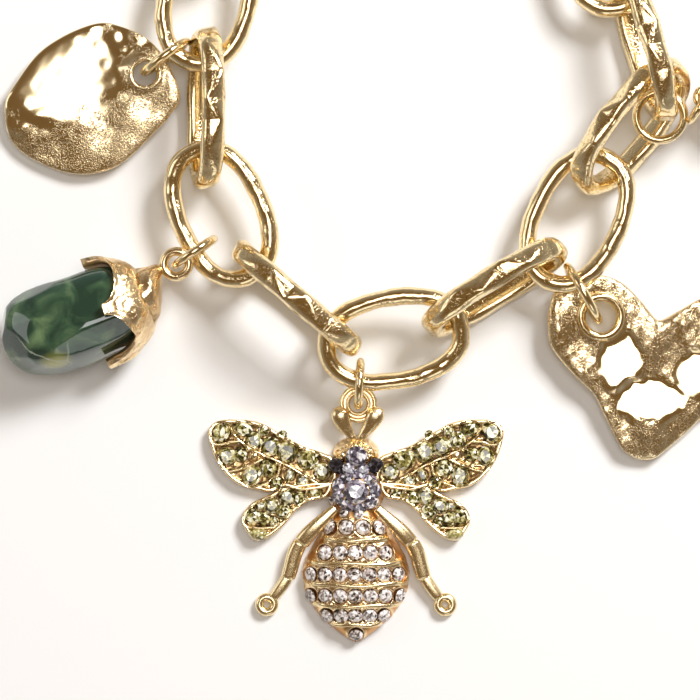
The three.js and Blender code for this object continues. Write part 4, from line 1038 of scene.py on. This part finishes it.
def brilliants(seats, seed):
    """One cut stone for each row of seats: x, y, height, slope in x and in y, radius, stretch and turn. Each
    facet has a random tone of its own, a painted reflection of the foil and pavilion below, light or dark,
    with white as a painted highlight. The table is split so that it shows these too."""
    rng = np.random.default_rng(seed)
    corners = np.concatenate([
        [[0, 0, 0.40]],
        np.insert(0.58 * compass(turns(8)), 2, 0.40, 1),
        np.insert(0.77 * compass(turns(8) + np.pi / 8), 2, 0.27, 1),
        np.insert(compass(turns(16)), 2, 0, 1),
        np.insert(compass(turns(16)), 2, -0.14, 1),
        [[0, 0, -0.55]]])
    k, j = np.arange(8), np.arange(16)
    on_table, on_star, on_edge, under = 1 + k, 9 + k, 17 + j, 33 + j
    after_table, before_star = np.roll(on_table, -1), np.roll(on_star, 1)
    kite_foot, half_foot, next_foot = on_edge[::2], on_edge[1::2], np.roll(on_edge[::2], -1)
    facets = [
        ((0 * k, on_table, after_table), k),
        ((on_table, on_star, after_table), 8 + k),
        ((on_table, before_star, kite_foot), 16 + k),
        ((on_table, kite_foot, on_star), 16 + k),
        ((on_star, kite_foot, half_foot), 24 + k),
        ((on_star, half_foot, next_foot), 32 + k),
        ((on_edge, under, np.roll(under, -1)), 40 + 0 * j),
        ((on_edge, np.roll(under, -1), np.roll(on_edge, -1)), 40 + 0 * j),
        ((49 + 0 * j, np.roll(under, -1), under), 40 + 0 * j)]
    faces = np.concatenate([np.stack(facet, -1) for facet, _ in facets])
    facet_names = np.concatenate([named for _, named in facets])
    seats = np.array(seats)
    up = unit(np.column_stack([-seats[:, 3:5], np.ones(len(seats))]))
    side = np.insert(compass(np.radians(seats[:, 7])), 2, 0, 1)
    side = unit(side - (side * up).sum(1, keepdims=True) * up)
    axes = np.stack([side * np.sqrt(seats[:, 6:7]), np.cross(up, side) / np.sqrt(seats[:, 6:7]), up], 1)
    points = seats[:, None, :3] + seats[:, 5, None, None] * np.einsum("cj,sjk->sck", corners, axes)
    every_face = faces[None] + (np.arange(len(seats)) * len(corners))[:, None, None]
    painted_reflections = rng.choice([0.0, 0.14, 0.3, 0.5, 0.7, 1.0], (len(seats), 41),
                       p=[0.16, 0.16, 0.20, 0.18, 0.14, 0.16])
    # The pavilion's facets are painted dark.
    painted_reflections[:, 40] = 0.05
    return points.reshape(-1, 3), every_face.reshape(-1, 3), painted_reflections[:, facet_names].ravel()


def crystal(name, shades, shift=-0.42):
    """Foiled glass: the facet's tone, a painted reflection, and fine broken painted glints read a shade from
    dark to light, under a clear hard gloss. shift sets how dark the painted glints run."""
    material, tree, glass = new_material(name, {"Roughness": 0.05, "IOR": 1.8})
    tone = add_node(tree, "Attribute", {}, attribute_name="tone")
    where = add_node(tree, "TexCoord", {}).outputs["Object"]
    glints = add_node(tree, "TexVoronoi", {"Vector": where, "Scale": 4600})
    glint = maths(tree, "MULTIPLY_ADD", glints.outputs["Color"], 0.8, shift)
    light = maths(tree, "ADD", glint, tone.outputs["Fac"])
    stops = list(zip(np.linspace(0, 1, len(shades)), shades))
    tree.links.new(ramp(tree, light, stops), glass.inputs["Base Color"])
    return material


def seat_row(x, y, surface, radius, stretch=1.0, turn=0.0, sunk=0.1):
    """A seat on a surface given by a function of x and y, leaning as it does."""
    step, steepest = 0.25 * mm, 1.4
    slope_x = (surface(x + step, y) - surface(x - step, y)) / (2 * step)
    slope_y = (surface(x, y + step) - surface(x, y - step)) / (2 * step)
    slopes = np.clip([slope_x, slope_y], -steepest, steepest)
    return [x, y, surface(x, y) - sunk * radius, *slopes, radius, stretch, turn]


def add_stones(name, seats, seed, material, slot):
    points, faces, painted_reflections = brilliants(seats, seed)
    add_piece(name, on_bee(points), faces, material, slot, smooth=False, face_marks={"tone": painted_reflections})


wing_level = wing_floor + 0.2 * mm
wing_seats = []
for wing in (upper_wing, lower_wing):
    for side in (1, -1):
        for order, (across, along, size, stretch, turn) in enumerate(wing["stones"]):
            x, y = side * across * bee_span, along * bee_span
            radius = 1.1 * size * mm
            wing_seats.append([x, y, wing_level - 0.1 * radius, 0.10 * np.sin(1e4 * x),
                               0.10 * np.cos(1.3e4 * y), radius, stretch, side * turn + 7 * order])
crystal_yellow = crystal("crystal_yellow", [
    (0.020, 0.016, 0.003), (0.11, 0.09, 0.018), (0.36, 0.31, 0.09), (0.76, 0.70, 0.36), (1.0, 1.0, 0.88)])
add_stones("wing_stones", wing_seats, 61, crystal_yellow, "crystal_yellow")

crystal_clear = crystal("crystal_clear", [
    (0.035, 0.024, 0.020), (0.24, 0.19, 0.17), (0.62, 0.54, 0.51), (0.95, 0.91, 0.90), (1.0, 1.0, 1.0)],
    shift=-0.28)
clear_seats = [seat_row(x, y, abdomen_height, body_stone * 1.08, turn=40 * order)
               for order, (x, y) in enumerate(body_seats)]


def chest_height(x, y):
    return np.maximum(dome_height(domes["thorax"], x, y), abdomen_height(x, y))


clear_seats += [seat_row(x * bee_span, y * bee_span, chest_height, 0.52 * mm, sunk=-0.2)
                for x, y in ((-0.083, 0.088), (-0.042, 0.050), (0.010, 0.046), (0.064, 0.080))]
add_stones("abdomen_stones", clear_seats, 62, crystal_clear, "crystal_clear")

crystal_violet = crystal("crystal_violet", [
    (0.024, 0.019, 0.028), (0.085, 0.073, 0.10), (0.20, 0.175, 0.23), (0.48, 0.43, 0.53), (1.0, 0.98, 1.0)])
chest = domes["thorax"]
chest_ring = (0.66 * compass(turns(9)) * chest["half"] + chest["place"]) * bee_span
violet_seats = [seat_row(x, y, chest_height, 0.84 * mm, turn=40 * order)
                for order, (x, y) in enumerate(chest_ring)]
for x, y, surface, radius in (
        (0, chest["place"][1], chest_height, 1.22 * mm),
        (0.002, 0.240, lambda x, y: dome_height(domes["head"], x, y), 1.06 * mm),
        (-0.026, 0.198, lambda x, y: 2.5 * mm, 0.62 * mm), (0.024, 0.196, lambda x, y: 2.5 * mm, 0.62 * mm)):
    violet_seats.append(seat_row(x * bee_span, y * bee_span, surface, radius))
add_stones("thorax_stones", violet_seats, 63, crystal_violet, "crystal_violet")

drop_half = np.array([0.95, 0.55, 0.5]) * mm
drop_place = np.array([-0.332, -0.024]) * bee_span
share = np.linspace(0, np.pi, 30)[:, None]
turn = turns(40)[None]
ahead = drop_half[0] * np.cos(share)
aside = drop_half[1] * np.sin(share) * np.cos(turn) * (1 + 0.25 * np.cos(share))
tall = drop_half[2] * np.sin(share) * np.sin(turn) + wing_level + 0.15 * mm
drops = []
for side in (1, -1):
    way = np.radians(-10 * side)
    drops.append(open_shell(np.stack(np.broadcast_arrays(
        ahead * np.cos(way) - aside * np.sin(way) + side * drop_place[0],
        ahead * np.sin(way) + aside * np.cos(way) + drop_place[1], tall), -1)))
drop_points, drop_faces = gathered(drops)
# The drops read one even tone under the painted glints of their glass.
add_piece("wing_drops", on_bee(drop_points), drop_faces, crystal_yellow, "crystal_yellow",
          marks={"tone": np.full(len(drop_points), 0.62)})

jet = crystal("jet", [
    (0.004, 0.003, 0.006), (0.008, 0.007, 0.012), (0.02, 0.018, 0.025), (0.05, 0.045, 0.06)])
eye_seats = [[side * 0.066 * bee_span, 0.207 * bee_span, 2.0 * mm, side * -0.25, 0.1, 0.82 * mm, 1.1,
              side * 30] for side in (-1, 1)]
add_stones("bee_eyes", eye_seats, 64, jet, "jet")

# Ball
# A nugget, cast rough and gilt, with sharp creases where the wax was pinched, on a small round eye.

ball_size = 6.6 * mm
ball_eye = 2.6 * mm
ball_eye_wire = 0.7 * mm
pinch_count = 34

ball_middle, ball_axes = facing(node_place("ball_charm"), np.array([1, 0.1, -0.3]))
level = np.array([0, 0, 1]) - ball_axes[0][2] * ball_axes[0]
level /= np.linalg.norm(level)
ball_place = (ball_middle, np.array([ball_axes[0], np.cross(level, ball_axes[0]), level]))
ball_centre = np.array([ball_eye / 2 - ball_eye_wire / 2, 0, 0])
down = np.linspace(0, np.pi, 110)[:, None]
around = turns(200)[None]
sphere, faces = open_shell(np.stack(np.broadcast_arrays(
    np.cos(down), np.sin(down) * np.cos(around), np.sin(down) * np.sin(around)), -1))
pinches = unit(np.random.default_rng(7).normal(size=(pinch_count, 3)))
near, next_near = nearest_dent(sphere, pinches)
crease = np.exp(-((np.sqrt(next_near) - np.sqrt(near)) / 0.09) ** 2)
rough = 0.03 * crease - 0.10 * (0.35 - np.minimum(np.sqrt(near), 0.35)) - 0.01
ball_points = sphere * (ball_size / 2 * (0.985 + rough))[:, None] + ball_centre
# Painted shade over the nugget's dimples, light along the raised creases.
add_piece("nugget_ball", placed(ball_points, ball_place), faces, cast_gold, "cast_gold", ["ball_charm"],
          marks={"painted_shade": np.clip(0.75 - 1.3 * crease, 0, 1)})
points, faces = round_hoop(ball_eye, ball_eye_wire, 80, 24)
points = points + np.array([-(ball_size - ball_eye_wire) / 2, 0, 0])
add_piece("nugget_eye", placed(points, ball_place), faces, polished_gold, "polished_gold")
